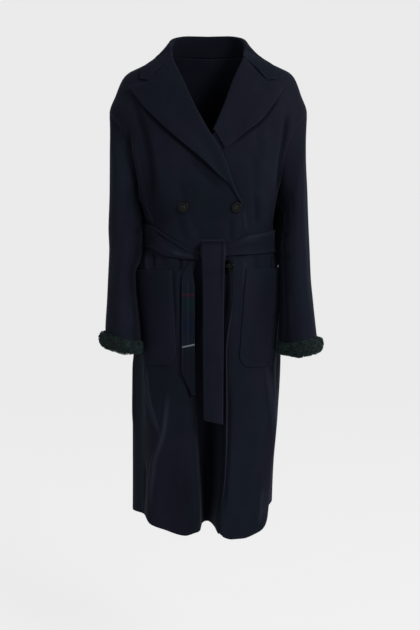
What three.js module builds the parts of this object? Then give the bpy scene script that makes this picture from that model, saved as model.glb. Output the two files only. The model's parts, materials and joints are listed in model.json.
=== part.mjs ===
// A long double-faced wool wrap coat with a self tie belt, two patch pockets and fur cuffs.
// Millimetres, +Z up. The coat faces -Y. "Right" and "left" are the wearer's: the wearer's
// right side lies at -X. The origin is between the shoulders, at the height of the neck point.
import * as THREE from 'three';

// ---------------------------------------------------------------- driving sizes

const CLOTH = 2.6; // wall of the double-faced wool
const SEAM = 0.4; // gap left between sewn pieces
const LAYER = 0.5; // gap left between cloth layers that lie on each other
const OVERLAP_LIFT = CLOTH + LAYER; // the outer front lies this far off the body surface
const ROLL_RADIUS = 3.2; // middle of the wall where a lapel or the collar turns over
const ROLL_REACH = ROLL_RADIUS + CLOTH / 2;
const ROLL_SETBACK = ROLL_REACH + 0.9; // how far a front stops short of its roll line
const SQUARENESS = 2.3; // exponent of the superellipse of every body section

const NECK_HEIGHT = 20;
const BREAK_HEIGHT = -356; // where the outer lapel's roll line ends
const GORGE_HEIGHT = -3; // where the collar meets the lapel on the roll line
const SKIRT_HEIGHT = -520; // below this, rows are spaced towards the hem

const ARMHOLE = { middle: -232, halfHeight: 103, halfDepth: 62 };

// Half widths and depths of the body's sections, measured from the Z axis.
const SECTIONS = [
  { z: 20, right: 101, left: 101, front: 42, back: 78 },
  { z: 8, right: 122, left: 122, front: 52, back: 84 },
  { z: -7, right: 147, left: 152, front: 62, back: 90 },
  { z: -20, right: 173, left: 180, front: 70, back: 95 },
  { z: -32, right: 197, left: 203, front: 77, back: 99 },
  { z: -46, right: 210, left: 214, front: 85, back: 103 },
  { z: -86, right: 227, left: 229, front: 104, back: 112 },
  { z: -129, right: 242, left: 243, front: 115, back: 119 },
  { z: -170, right: 226, left: 227, front: 125, back: 124 },
  { z: -232, right: 204, left: 204, front: 134, back: 126 },
  { z: -290, right: 187, left: 187, front: 137, back: 121 },
  { z: -335, right: 171, left: 170, front: 132, back: 112 },
  { z: -370, right: 158, left: 163, front: 124, back: 103 },
  { z: -405, right: 151, left: 159, front: 117, back: 97 },
  { z: -445, right: 151, left: 159, front: 115, back: 95 },
  { z: -480, right: 160, left: 165, front: 119, back: 102 },
  { z: -520, right: 179, left: 174, front: 130, back: 117 },
  { z: -600, right: 184, left: 180, front: 140, back: 130 },
  { z: -725, right: 184, left: 180, front: 147, back: 137 },
  { z: -882, right: 186, left: 173, front: 150, back: 142 },
  { z: -1020, right: 186, left: 162, front: 152, back: 146 },
  { z: -1165, right: 187, left: 157, front: 153, back: 149 },
];

// Height of the hem round the body: 0 degrees is the centre front, -90 the wearer's right.
const HEM = [
  { angle: -180, z: -1130 }, { angle: -130, z: -1122 }, { angle: -90, z: -1113 },
  { angle: -62, z: -1111 }, { angle: -50, z: -1114 }, { angle: -42, z: -1127 },
  { angle: -30, z: -1138 }, { angle: -14, z: -1148 }, { angle: -5.7, z: -1139 },
  { angle: 0, z: -1135 }, { angle: 5.5, z: -1136 }, { angle: 8, z: -1143 },
  { angle: 12, z: -1154 }, { angle: 20, z: -1160 }, { angle: 30, z: -1160 },
  { angle: 42, z: -1149 }, { angle: 52, z: -1136 }, { angle: 62, z: -1112 },
  { angle: 90, z: -1098 }, { angle: 130, z: -1112 }, { angle: 180, z: -1130 },
];

// The outer front: where its deep fold starts, and its roll line and front edge.
const OUTER_FRONT = [
  { z: 20, fold: -92, edge: -84 }, { z: 8, fold: -98, edge: -86 },
  { z: -3, fold: -100, edge: -84 }, { z: -60, fold: -98, edge: -59 },
  { z: -130, fold: -85, edge: -27 }, { z: -190, fold: -60, edge: 6 },
  { z: -210, fold: -55, edge: 19 }, { z: -241, fold: -51, edge: 36 },
  { z: -294, fold: -48, edge: 55 }, { z: -325, fold: -46, edge: 66 },
  { z: -356, fold: -45, edge: 81 }, { z: -400, fold: -44, edge: 80 },
  { z: -445, fold: -46, edge: 72 }, { z: -500, fold: -51, edge: 65 },
  { z: -565, fold: -52, edge: 64 }, { z: -713, fold: -51, edge: 45 },
  { z: -850, fold: -43, edge: 42 }, { z: -909, fold: -39, edge: 41 },
  { z: -1007, fold: -33, edge: 38 }, { z: -1052, fold: -29, edge: 34 },
  { z: -1100, fold: -26, edge: 25 }, { z: -1165, fold: -25, edge: 21 },
];

// The under front above the point where it shares the outer front's columns.
const UNDER_FRONT = [
  { z: 20, hidden: 84, covered: 92 }, { z: 8, hidden: 87, covered: 99 },
  { z: -3, hidden: 84, covered: 102 }, { z: -60, hidden: 60, covered: 98 },
  { z: -130, hidden: 34, covered: 84 }, { z: -190, hidden: 7, covered: 64 },
  { z: -215, hidden: -14, covered: 56 }, { z: -241, hidden: -44, covered: 46 },
];
const SHARED_HEIGHT = -294;

// Depth of the fold between the outer front's body and its edge.
const VALLEY_DEPTH = [
  { z: 20, depth: 0 }, { z: -470, depth: 0 }, { z: -520, depth: 18 }, { z: -650, depth: 52 },
  { z: -800, depth: 78 }, { z: -1000, depth: 98 }, { z: -1165, depth: 103 },
];
// Its profile, across from the fold line (0) to the front edge (1).
const VALLEY_PROFILE = [
  { across: -0.25, deep: 0 }, { across: -0.08, deep: 0.015 }, { across: 0.03, deep: 0.16 },
  { across: 0.06, deep: 0.5 }, { across: 0.11, deep: 0.84 }, { across: 0.26, deep: 0.99 },
  { across: 0.46, deep: 1 }, { across: 0.64, deep: 0.84 }, { across: 0.79, deep: 0.5 },
  { across: 0.91, deep: 0.16 }, { across: 1, deep: 0 },
];

// Large folds. Each runs down through its path; height is out of the body, or in if negative.
const FOLDS = [
  { halfAngle: 8, height: 9, path: [{ z: -780, angle: -28 }, { z: -1165, angle: -45 }] },
  { halfAngle: 8, height: 5, path: [{ z: -740, angle: -52 }, { z: -930, angle: -38 }] },
  { halfAngle: 10, height: -12, path: [{ z: -600, angle: -68 }, { z: -1165, angle: -60 }] },
  { halfAngle: 9, height: 10, path: [{ z: -700, angle: 52 }, { z: -940, angle: 64 },
    { z: -1165, angle: 46 }] },
  { halfAngle: 10, height: -8, path: [{ z: -560, angle: 74 }, { z: -1165, angle: 76 }] },
  { halfAngle: 12, height: -7, path: [{ z: -760, angle: 30 }, { z: -1165, angle: 22 }] },
  { halfAngle: 14, height: 9, path: [{ z: -470, angle: 128 }, { z: -1165, angle: 118 }] },
  { halfAngle: 13, height: -8, path: [{ z: -480, angle: 150 }, { z: -1165, angle: 146 }] },
  { halfAngle: 13, height: 9, path: [{ z: -470, angle: 176 }, { z: -1165, angle: 170 }] },
  { halfAngle: 13, height: -9, path: [{ z: -480, angle: -162 }, { z: -1165, angle: -166 }] },
  { halfAngle: 14, height: 8, path: [{ z: -470, angle: -134 }, { z: -1165, angle: -140 }] },
  { halfAngle: 12, height: -6, path: [{ z: -500, angle: -112 }, { z: -1165, angle: -112 }] },
  { halfAngle: 12, height: 5, path: [{ z: -150, angle: -40 }, { z: -430, angle: -34 }] },
  { halfAngle: 11, height: -5, path: [{ z: -190, angle: -60 }, { z: -440, angle: -52 }] },
  { halfAngle: 12, height: 5, path: [{ z: -170, angle: 62 }, { z: -440, angle: 48 }] },
  { halfAngle: 14, height: 6, path: [{ z: -230, angle: 160 }, { z: -440, angle: 150 }] },
  { halfAngle: 14, height: 6, path: [{ z: -230, angle: -155 }, { z: -440, angle: -150 }] },
];

// Sleeves: x of the outer and inner sides, the middle's y, and how far the inner back
// reaches towards the body.
const SLEEVE_RIGHT = [
  { z: -129, outer: -242, inner: -196, middle: 0, tuck: 0 },
  { z: -232, outer: -244, inner: -190, middle: -5, tuck: 0 },
  { z: -320, outer: -244, inner: -180, middle: -14, tuck: 10 },
  { z: -400, outer: -246, inner: -162, middle: -26, tuck: 6 },
  { z: -470, outer: -243, inner: -163, middle: -42, tuck: 6 },
  { z: -530, outer: -244, inner: -177, middle: -62, tuck: 0 },
  { z: -590, outer: -245, inner: -170, middle: -84, tuck: 0 },
  { z: -650, outer: -247, inner: -161, middle: -105, tuck: 0 },
  { z: -700, outer: -246, inner: -155, middle: -118, tuck: 0 },
];
const SLEEVE_LEFT = [
  { z: -129, outer: 243, inner: 198, middle: 0, tuck: 0 },
  { z: -232, outer: 243, inner: 197, middle: -5, tuck: 0 },
  { z: -320, outer: 246, inner: 192, middle: -14, tuck: 18 },
  { z: -400, outer: 248, inner: 186, middle: -26, tuck: 22 },
  { z: -470, outer: 250, inner: 179, middle: -42, tuck: 16 },
  { z: -530, outer: 251, inner: 182, middle: -60, tuck: 6 },
  { z: -590, outer: 255, inner: 183, middle: -80, tuck: 0 },
  { z: -650, outer: 260, inner: 182, middle: -98, tuck: 0 },
  { z: -700, outer: 265, inner: 180, middle: -110, tuck: 0 },
];
const SLEEVE_HALF_DEPTH = 63;
const SLEEVE_ENDS = { right: { middle: -673, tilt: 13 }, left: { middle: -682, tilt: 8 } };
const CUFF = { halfHeight: 19, halfWidth: 11, proud: 5 };

// Lapel edges, from the point to the break; s runs down the roll line.
const LAPEL_EDGE_RIGHT = [
  { s: 0, x: -187, z: -76 }, { s: 0.15, x: -150, z: -125 }, { s: 0.3, x: -111, z: -165 },
  { s: 0.42, x: -77, z: -197 }, { s: 0.62, x: -14, z: -251 }, { s: 0.76, x: 24, z: -287 },
  { s: 0.88, x: 53, z: -314 }, { s: 1, x: 76, z: -352 },
];
const LAPEL_EDGE_LEFT = [
  { s: 0, x: 184, z: -68 }, { s: 0.25, x: 155, z: -117 }, { s: 0.5, x: 125, z: -157 },
  { s: 0.7, x: 94, z: -182 }, { s: 1, x: 40, z: -226 },
];
const UNDER_LAPEL_END = -183; // height at which the under lapel meets the outer roll
const NOTCH = { x: 141, z: -60 };
const NOTCH_GAP = 0.6;
const LEAF_TIP = { x: 164, z: -54 };

// Half of the collar, from the back centre to the gorge: the neck seam and the leaf's edge
// lie on the body, the fold stands free.
const COLLAR = [
  { s: 0, seamAngle: 180, seamZ: 20, foldX: 0, foldY: 74, foldZ: 75, leafAngle: 180, leafZ: 0 },
  { s: 0.2, seamAngle: 149, seamZ: 20, foldX: 45, foldY: 66, foldZ: 74, leafAngle: 150, leafZ: 1 },
  { s: 0.38, seamAngle: 118, seamZ: 20, foldX: 77, foldY: 36, foldZ: 64, leafAngle: 118, leafZ: 5 },
  { s: 0.52, seamAngle: 92, seamZ: 20, foldX: 88, foldY: 6, foldZ: 51, leafAngle: 91, leafZ: 11 },
  { s: 0.68, seamAngle: 73, seamZ: 20, foldX: 90, foldY: -14, foldZ: 37, leafAngle: 66, leafZ: -2 },
  { s: 0.77, seamAngle: 60, seamZ: 20, foldX: 91, foldY: -24, foldZ: 29, leafAngle: 61, leafZ: -13 },
  { s: 0.86, seamAngle: 47, seamZ: 11, foldX: 90, foldY: -35, foldZ: 18, leafAngle: 56, leafZ: -26 },
];
const STAND_GAP = CLOTH / 2 + 1; // from the neck edge to the middle of the stand
const COLLAR_STEPS = 13; // steps in each half

const BELT = { lift: 2.2, wall: 3, tailWall: 3, tailWidth: 54 };
const BELT_PATH = [
  { angle: -352, top: -463, bottom: -484 }, { angle: -346, top: -456, bottom: -482 },
  { angle: -327, top: -432, bottom: -479 }, { angle: -300, top: -423, bottom: -475 },
  { angle: -270, top: -414, bottom: -472 }, { angle: -225, top: -402, bottom: -462 },
  { angle: -180, top: -400, bottom: -460 }, { angle: -135, top: -400, bottom: -460 },
  { angle: -90, top: -401, bottom: -460 }, { angle: -60, top: -409, bottom: -464 },
  { angle: -30, top: -441, bottom: -485 }, { angle: -14, top: -466, bottom: -491 },
  { angle: -5, top: -470, bottom: -490 },
];
const KNOT = { x: 12, z: -474, halfWidth: 31, halfDepth: 14, halfHeight: 22, squareness: 2.8 };
const FRONT_TAIL = [
  { z: -445, left: -14, right: 40, off: 13 }, { z: -449, left: -15, right: 41, off: 33 },
  { z: -470, left: -15, right: 41, off: 38.6 }, { z: -500, left: -14, right: 40, off: 35 },
  { z: -530, left: -13, right: 39, off: 24 }, { z: -600, left: -12, right: 38, off: 17 },
  { z: -700, left: -12, right: 37, off: 15 }, { z: -870, left: -10, right: 36, off: 15 },
];
const REVERSE_TAIL = [
  { z: -494, start: -42, face: 15, inward: 3, off: 8.1 },
  { z: -512, start: -52, face: 17, inward: 4, off: 7.7 },
  { z: -532, start: -61, face: 25, inward: 9, off: 7.5 },
  { z: -560, start: -62, face: 29, inward: 17, off: 7.3 },
  { z: -700, start: -62, face: 29, inward: 22, off: 7.3 },
  { z: -810, start: -62, face: 29, inward: 22, off: 7.3 },
];

const POCKET = { lift: 1.2, wall: 2.6, gape: 2.6 };
const POCKET_RIGHT = [
  { s: 0, z: -518, inner: -84, outer: -180 }, { s: 0.5, z: -630, inner: -78, outer: -170 },
  { s: 1, z: -742, inner: -72, outer: -154 },
];
const POCKET_LEFT = [
  { s: 0, z: -514, inner: 90, outer: 173 }, { s: 0.5, z: -630, inner: 81, outer: 169 },
  { s: 1, z: -747, inner: 72, outer: 160 },
];
const POCKET_CORNER = 14;

const BUTTON = { radius: 13, thickness: 4.6, rimWidth: 2.4, dish: 1.4 };
const BUTTON_PLACES = [
  { name: 'button_upper_inner', x: -57, z: -363, shank: 0.6 },
  { name: 'button_upper_outer', x: 66, z: -363, shank: 0.6 },
  { name: 'button_lower', x: 50, z: -507, shank: 1.9 },
];

const MATERIALS = {
  wool: { color: 0x12131c, roughness: 0.94, metalness: 0 },
  reverse: { color: 0x14232c, roughness: 0.94, metalness: 0 },
  fur: { color: 0x0c1f1c, roughness: 1, metalness: 0 },
  button: { color: 0x0b0b0d, roughness: 0.28, metalness: 0 },
};

// ---------------------------------------------------------------- small helpers

const radians = THREE.MathUtils.degToRad;
const mix = THREE.MathUtils.lerp;
const ease = (value, from, to) => {
  const t = THREE.MathUtils.clamp((value - from) / (to - from), 0, 1);
  return t * t * (3 - 2 * t);
};

// A smooth value of one column of a table at a place along its key column.
function tableValue(rows, key, at, column) {
  const rising = rows[rows.length - 1][key] > rows[0][key] ? 1 : -1;
  const place = THREE.MathUtils.clamp(at * rising, rows[0][key] * rising, rows.at(-1)[key] * rising);
  let i = 0;
  while (i < rows.length - 2 && rows[i + 1][key] * rising < place) i += 1;
  const slope = (n) => (rows[n + 1][column] - rows[n][column]) / (rows[n + 1][key] - rows[n][key]);
  const tangent = (n) => {
    if (n === 0) return slope(0);
    if (n === rows.length - 1) return slope(n - 1);
    const before = slope(n - 1);
    const after = slope(n);
    return before * after <= 0 ? 0 : (2 * before * after) / (before + after);
  };
  const span = rows[i + 1][key] - rows[i][key];
  const t = (place * rising - rows[i][key]) / span;
  const a = rows[i][column];
  const b = rows[i + 1][column];
  return a * (1 + 2 * t) * (1 - t) ** 2 + b * t * t * (3 - 2 * t)
    + span * (tangent(i) * t * (1 - t) ** 2 - tangent(i + 1) * t * t * (1 - t));
}

const linspace = (from, to, steps) =>
  Array.from({ length: steps + 1 }, (_, i) => mix(from, to, i / steps));

// ---------------------------------------------------------------- the body surface

const section = (z, column) => tableValue(SECTIONS, 'z', z, column);
const halfWidth = (x, z) => section(z, x < 0 ? 'right' : 'left');
const halfDepth = (y, z) => section(z, y < 0 ? 'front' : 'back');

// The angle round the body at which the front reaches a given x.
function angleOfX(x, z) {
  const share = Math.min(Math.abs(x) / halfWidth(x, z), 1);
  return Math.sign(x) * Math.asin(share ** (SQUARENESS / 2));
}

// How far out a section lies at a given y, beside the body.
function xOfDepth(side, y, z, extra = 0) {
  const share = Math.min(Math.abs(y) / (halfDepth(y, z) + extra), 1);
  return side * (halfWidth(side, z) + extra) * (1 - share ** SQUARENESS) ** (1 / SQUARENESS);
}

function foldHeight(angle, z) {
  let height = 0;
  for (const fold of FOLDS) {
    const top = fold.path[0].z;
    const bottom = fold.path.at(-1).z;
    const middle = radians(tableValue(fold.path, 'z', z, 'angle'));
    let off = Math.abs(angle - middle) % (2 * Math.PI);
    if (off > Math.PI) off = 2 * Math.PI - off;
    const grow = ease(top - z, 0, 160) * (bottom < -1100 ? 1 : 1 - ease(z, bottom + 90, bottom));
    const across = Math.min(off / (2 * radians(fold.halfAngle)), 1);
    height += fold.height * grow * Math.cos((across * Math.PI) / 2) ** 2;
  }
  return height;
}

function valleyDepth(x, z) {
  const depth = tableValue(VALLEY_DEPTH, 'z', z, 'depth');
  if (depth <= 0) return 0;
  const fold = tableValue(OUTER_FRONT, 'z', z, 'fold');
  const edge = tableValue(OUTER_FRONT, 'z', z, 'edge');
  return depth * tableValue(VALLEY_PROFILE, 'across', (x - fold) / (edge - fold), 'deep');
}

function surfacePoint(angle, z) {
  const s = Math.sin(angle);
  const c = Math.cos(angle);
  const power = 2 / SQUARENESS;
  const x = Math.sign(s) * halfWidth(s, z) * Math.abs(s) ** power;
  const y = -Math.sign(c) * halfDepth(-c, z) * Math.abs(c) ** power;
  const out = new THREE.Vector2(x / halfWidth(s, z) ** 2, y / halfDepth(-c, z) ** 2).normalize();
  const height = foldHeight(angle, z);
  const inward = c > 0 ? valleyDepth(x, z) : 0;
  return new THREE.Vector3(x + out.x * height, y + out.y * height + inward, z);
}

function surfaceNormal(angle, z) {
  const turn = 0.0006;
  const rise = 0.4;
  const round = surfacePoint(angle + turn, z).sub(surfacePoint(angle - turn, z));
  const up = surfacePoint(angle, z + rise).sub(surfacePoint(angle, z - rise));
  return round.cross(up).normalize();
}

const onBody = (angle, z, lift) =>
  surfaceNormal(angle, z).multiplyScalar(lift).add(surfacePoint(angle, z));

const hemHeight = (angle) => tableValue(HEM, 'angle', THREE.MathUtils.radToDeg(angle), 'z');

// The outer front lies flat on the body at its side and over the under front at the middle.
function outerLift(x, z) {
  const fold = tableValue(OUTER_FRONT, 'z', z, 'fold');
  const edge = tableValue(OUTER_FRONT, 'z', z, 'edge');
  const start = fold - 0.25 * (edge - fold);
  return OVERLAP_LIFT * ease(x, start - 50, start - 6) * ease(-z, 130, 180);
}

// Moves a point out until it lies at least a given height off the body.
function keepOff(point, lift) {
  let z = THREE.MathUtils.clamp(point.z, -1150, NECK_HEIGHT - 1);
  let angle = Math.atan2(point.x / halfWidth(point.x, z), -point.y / halfDepth(point.y, z));
  for (let pass = 0; pass < 10; pass += 1) {
    const here = surfacePoint(angle, z);
    const round = surfacePoint(angle + 0.001, z).sub(here).divideScalar(0.001);
    const up = surfacePoint(angle, z + 0.5).sub(here).divideScalar(0.5);
    const miss = point.clone().sub(here);
    const rr = round.dot(round);
    const ru = round.dot(up);
    const uu = up.dot(up);
    const det = rr * uu - ru * ru;
    angle += (0.8 * (uu * miss.dot(round) - ru * miss.dot(up))) / det;
    z += (0.8 * (rr * miss.dot(up) - ru * miss.dot(round))) / det;
    z = THREE.MathUtils.clamp(z, -1150, NECK_HEIGHT - 1);
  }
  const normal = surfaceNormal(angle, z);
  const height = point.clone().sub(surfacePoint(angle, z)).dot(normal);
  return height < lift ? point.clone().addScaledVector(normal, lift - height) : point;
}

// ---------------------------------------------------------------- cloth walls

function meshOf(name, finish, points, faces) {
  const geometry = new THREE.BufferGeometry();
  const positions = points.flatMap((p) => [p.x, p.y, p.z]);
  geometry.setAttribute('position', new THREE.Float32BufferAttribute(positions, 3));
  let volume = 0;
  for (const [a, b, c] of faces) {
    volume += points[a].dot(points[b].clone().cross(points[c]));
  }
  geometry.setIndex(faces.flatMap(([a, b, c]) => (volume > 0 ? [a, b, c] : [a, c, b])));
  const mesh = new THREE.Mesh(geometry, new THREE.MeshStandardMaterial(MATERIALS[finish]));
  mesh.name = name;
  return mesh;
}

// A closed wall from two grids of points with the same rows and columns. A round wall's
// last column joins its first.
function wall(name, finish, outer, inner, round = false) {
  const rows = outer.length;
  const columns = outer[0].length;
  const points = [...outer.flat(), ...inner.flat()];
  const out = (i, j) => i * columns + (j % columns);
  const into = (i, j) => rows * columns + out(i, j);
  const faces = [];
  const quad = (a, b, c, d) => faces.push([a, b, c], [a, c, d]);
  const lastColumn = round ? columns : columns - 1;
  for (let i = 0; i < rows - 1; i += 1) {
    for (let j = 0; j < lastColumn; j += 1) {
      quad(out(i, j), out(i, j + 1), out(i + 1, j + 1), out(i + 1, j));
      quad(into(i, j), into(i + 1, j), into(i + 1, j + 1), into(i, j + 1));
    }
  }
  for (let j = 0; j < lastColumn; j += 1) {
    quad(out(0, j + 1), out(0, j), into(0, j), into(0, j + 1));
    quad(out(rows - 1, j), out(rows - 1, j + 1), into(rows - 1, j + 1), into(rows - 1, j));
  }
  if (!round) {
    for (let i = 0; i < rows - 1; i += 1) {
      quad(out(i, 0), out(i + 1, 0), into(i + 1, 0), into(i, 0));
      quad(out(i + 1, lastColumn), out(i, lastColumn), into(i, lastColumn), into(i + 1, lastColumn));
    }
  }
  return meshOf(name, finish, points, faces);
}

// A wall of even thickness on both sides of a grid of points.
function wallAround(name, finish, grid, thickness) {
  const normalAt = (i, j) => {
    const along = grid[Math.min(i + 1, grid.length - 1)][j].clone().sub(grid[Math.max(i - 1, 0)][j]);
    const row = grid[i];
    const across = row[Math.min(j + 1, row.length - 1)].clone().sub(row[Math.max(j - 1, 0)]);
    return across.cross(along).normalize();
  };
  const moved = (side) => grid.map((row, i) => row.map((point, j) =>
    point.clone().addScaledVector(normalAt(i, j), (side * thickness) / 2)));
  return wall(name, finish, moved(1), moved(-1));
}

// ---------------------------------------------------------------- fronts and back

const ROWS = [
  ...[20, 11, 1, -11, -24, -36, -58, -85, -108].map((z) => ({ z })),
  ...linspace(0, Math.PI, 8).map((turn) => ({
    z: ARMHOLE.middle + ARMHOLE.halfHeight * Math.cos(turn),
  })),
  ...[-358, -381, -405, -432, -458, -488].map((z) => ({ z })),
  ...[0, 0.07, 0.16, 0.26, 0.37, 0.49, 0.61, 0.73, 0.84, 0.93, 1].map((share) => ({ share })),
];

const rowHeight = (row, angle) =>
  (row.share === undefined ? row.z : mix(SKIRT_HEIGHT, hemHeight(angle), row.share));

// The angle at which a panel ends at the side: the side or shoulder seam, or the armhole.
function sideAngle(side, facing, z) {
  const height = (z - ARMHOLE.middle) / ARMHOLE.halfHeight;
  const depth = Math.abs(height) < 1 ? ARMHOLE.halfDepth * Math.sqrt(1 - height * height) : 0;
  const reach = halfDepth(facing, z);
  const c = (Math.max(depth, SEAM / 2) / reach) ** (SQUARENESS / 2);
  return side * (facing < 0 ? Math.acos(c) : Math.PI - Math.acos(c));
}

const FRONT = -1;
const BACK = 1;
const RIGHT = -1;
const LEFT = 1;
const SIDE_COLUMNS = 8;

// Places across the outer front at one height: from the side seam to its front edge.
function outerFrontAngles(z) {
  const fold = tableValue(OUTER_FRONT, 'z', z, 'fold');
  const roll = ROLL_SETBACK * ease(z, BREAK_HEIGHT - 24, BREAK_HEIGHT - 1);
  const edge = tableValue(OUTER_FRONT, 'z', z, 'edge');
  const middle = VALLEY_PROFILE.map(({ across }) =>
    angleOfX(Math.min(fold + across * (edge - fold), edge - roll * (0.2 + 0.8 * across)), z));
  const side = linspace(sideAngle(RIGHT, FRONT, z), middle[0], SIDE_COLUMNS);
  return [...side.slice(0, -1), ...middle];
}

// Places across the under front: from its hidden edge to the side seam.
function underFrontAngles(z) {
  const fold = tableValue(OUTER_FRONT, 'z', SHARED_HEIGHT, 'fold');
  const edge = tableValue(OUTER_FRONT, 'z', SHARED_HEIGHT, 'edge');
  const first = VALLEY_PROFILE[0].across;
  const table = [...UNDER_FRONT,
    { z: SHARED_HEIGHT, hidden: fold + first * (edge - fold), covered: edge }];
  const shared = z <= SHARED_HEIGHT;
  const foldHere = tableValue(OUTER_FRONT, 'z', z, 'fold');
  const edgeHere = tableValue(OUTER_FRONT, 'z', z, 'edge');
  const roll = (ROLL_SETBACK + SEAM) * ease(z, UNDER_LAPEL_END - 34, UNDER_LAPEL_END - 12);
  const hidden = shared ? foldHere + first * (edgeHere - foldHere)
    : tableValue(table, 'z', z, 'hidden') + roll;
  const covered = shared ? edgeHere : tableValue(table, 'z', z, 'covered') + roll;
  const middle = VALLEY_PROFILE.map(({ across }) =>
    angleOfX(mix(hidden, covered, (across - first) / (1 - first)), z));
  const side = linspace(middle.at(-1), sideAngle(LEFT, FRONT, z), SIDE_COLUMNS);
  return [...middle, ...side.slice(1)];
}

const BACK_COLUMNS = 17;
function backAngles(z) {
  const left = sideAngle(LEFT, BACK, z);
  return linspace(left, 2 * Math.PI + sideAngle(RIGHT, BACK, z), BACK_COLUMNS);
}

function panel(name, anglesAt, liftAt) {
  const outer = [];
  const inner = [];
  for (const row of ROWS) {
    const nominal = anglesAt(row.share === undefined ? row.z : mix(SKIRT_HEIGHT, -1140, row.share));
    const places = nominal.map((angle, j) => {
      const turned = angle > Math.PI ? angle - 2 * Math.PI : angle;
      const z = rowHeight(row, turned);
      return { angle: anglesAt(z)[j], z };
    });
    outer.push(places.map(({ angle, z }) => onBody(angle, z, liftAt(angle, z) + CLOTH)));
    inner.push(places.map(({ angle, z }) => onBody(angle, z, liftAt(angle, z))));
  }
  return wall(name, 'wool', outer, inner);
}

const outerFrontLift = (angle, z) => outerLift(surfacePoint(angle, z).x, z);
const noLift = () => 0;

// ---------------------------------------------------------------- lapels

// The body surface by x and z on the front.
const onFront = (x, z, lift) => onBody(angleOfX(x, z), z, lift);

const ROLL_TURNS = [-90, -45, 0, 45, 90].map(radians);
const LAPEL_COLUMNS = [0.12, 0.28, 0.46, 0.64, 0.82, 1];
const NOTCH_SHARE = 0.64;

// Height of a lapel's middle over the middle of the front that it lies on.
const lapelStandoff = (t) =>
  mix(2 * ROLL_RADIUS, CLOTH + 1, ease(t, 0, 0.4)) + 3 * ease(t, 0.55, 1);

function lapel(name, side, edgeTable, bottom, rollAt, liftAt) {
  const heights = [GORGE_HEIGHT - NOTCH_GAP, ...ROWS.map(({ z }) => z)
    .filter((z) => z < GORGE_HEIGHT - 4 && z > bottom + 4), bottom];
  const grid = heights.map((z) => {
    const s = (z - heights[0]) / (bottom - heights[0]);
    const x = rollAt(z);
    const fold = ROLL_TURNS.map((turn) => onFront(
      x - side * (SEAM / 2 + ROLL_RADIUS * Math.cos(turn)), z,
      liftAt(x, z) + CLOTH / 2 + ROLL_RADIUS * (1 + Math.sin(turn)),
    ));
    const edge = { x: tableValue(edgeTable, 's', s, 'x'), z: tableValue(edgeTable, 's', s, 'z') };
    const flat = LAPEL_COLUMNS.map((t) => {
      const bend = (1 - s) ** 2;
      const notch = { x: side * NOTCH.x, z: NOTCH.z - NOTCH_GAP };
      const toNotch = t / NOTCH_SHARE;
      const past = (t - NOTCH_SHARE) / (1 - NOTCH_SHARE);
      const top = t < NOTCH_SHARE
        ? { x: mix(x, notch.x, toNotch), z: mix(z, notch.z, toNotch) }
        : { x: mix(notch.x, edge.x, past), z: mix(notch.z, edge.z, past) };
      const px = mix(mix(x, edge.x, t), top.x, bend);
      const pz = mix(mix(z, edge.z, t), top.z, bend);
      return onFront(px, pz, liftAt(px, pz) + CLOTH / 2 + lapelStandoff(t * Math.min(1, 3 * (1 - s))));
    });
    return [...fold, ...flat];
  });
  return wallAround(name, 'wool', grid, CLOTH);
}

const outerRoll = (z) => tableValue(OUTER_FRONT, 'z', z, 'edge') - ROLL_REACH;
const underRoll = (z) => tableValue(UNDER_FRONT, 'z', z, 'hidden') + ROLL_REACH;

// ---------------------------------------------------------------- collar

const LEAF_COLUMNS = [0.22, 0.46, 0.72, 1];

function collarSection(share, side) {
  const value = (column) => tableValue(COLLAR, 's', share, column);
  const angle = side * radians(value('seamAngle'));
  const seam = onBody(angle, value('seamZ'), CLOTH / 2);
  const below = onBody(angle, value('seamZ') - 2, CLOTH / 2);
  seam.addScaledVector(seam.clone().sub(below).normalize(), STAND_GAP);
  const fold = new THREE.Vector3(side * value('foldX'), value('foldY'), value('foldZ'));
  const edge = onBody(side * radians(value('leafAngle')), value('leafZ'), CLOTH * 1.5 + 2);
  return { seam, fold, edge };
}

// The last section lies along the gorge seam and the notch.
function gorgeSection(side) {
  const roll = side < 0 ? outerRoll(GORGE_HEIGHT) : underRoll(GORGE_HEIGHT);
  const height = GORGE_HEIGHT + NOTCH_GAP;
  const seam = onFront(roll - side * STAND_GAP, height + 1, CLOTH / 2);
  const fold = onFront(roll - side * ROLL_RADIUS, height + 2, CLOTH / 2 + 2 * ROLL_RADIUS);
  const edge = onFront(side * LEAF_TIP.x, LEAF_TIP.z, CLOTH * 1.5 + 3);
  return { seam, fold, edge };
}

function collar() {
  const grid = [];
  for (let step = -COLLAR_STEPS; step <= COLLAR_STEPS; step += 1) {
    const side = step < 0 ? RIGHT : LEFT;
    const share = Math.abs(step) / COLLAR_STEPS;
    const last = COLLAR.at(-1).s;
    const start = collarSection(Math.min(share, last), side);
    const end = gorgeSection(side);
    const toGorge = Math.max(0, (share - last) / (1 - last));
    const seam = start.seam.lerp(end.seam, toGorge);
    const fold = start.fold.lerp(end.fold, toGorge);
    const edge = start.edge.lerp(end.edge, toGorge);
    const up = fold.clone().sub(seam).normalize();
    const out = edge.clone().sub(fold);
    out.addScaledVector(up, -out.dot(up)).normalize();
    const turnPoint = (degrees) => fold.clone()
      .addScaledVector(out, ROLL_RADIUS * (1 - Math.cos(radians(degrees))))
      .addScaledVector(up, ROLL_RADIUS * (Math.sin(radians(degrees)) - 1));
    const turned = turnPoint(165);
    const leaf = LEAF_COLUMNS.map((t) => {
      const bent = new THREE.Vector3().lerpVectors(turned, edge, t);
      const notched = gorgePoint(side, turned, t);
      const place = bent.lerp(notched, toGorge ** 2);
      return keepOff(place, CLOTH * 1.5 + 1.6 + 1.6 * t);
    });
    const stand = new THREE.Vector3().lerpVectors(seam, turnPoint(0), 0.5);
    grid.push([seam, stand, turnPoint(0), turnPoint(50), turnPoint(90), turnPoint(130), turned,
      ...leaf]);
  }
  return wallAround('collar', 'wool', grid, CLOTH);
}

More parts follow.
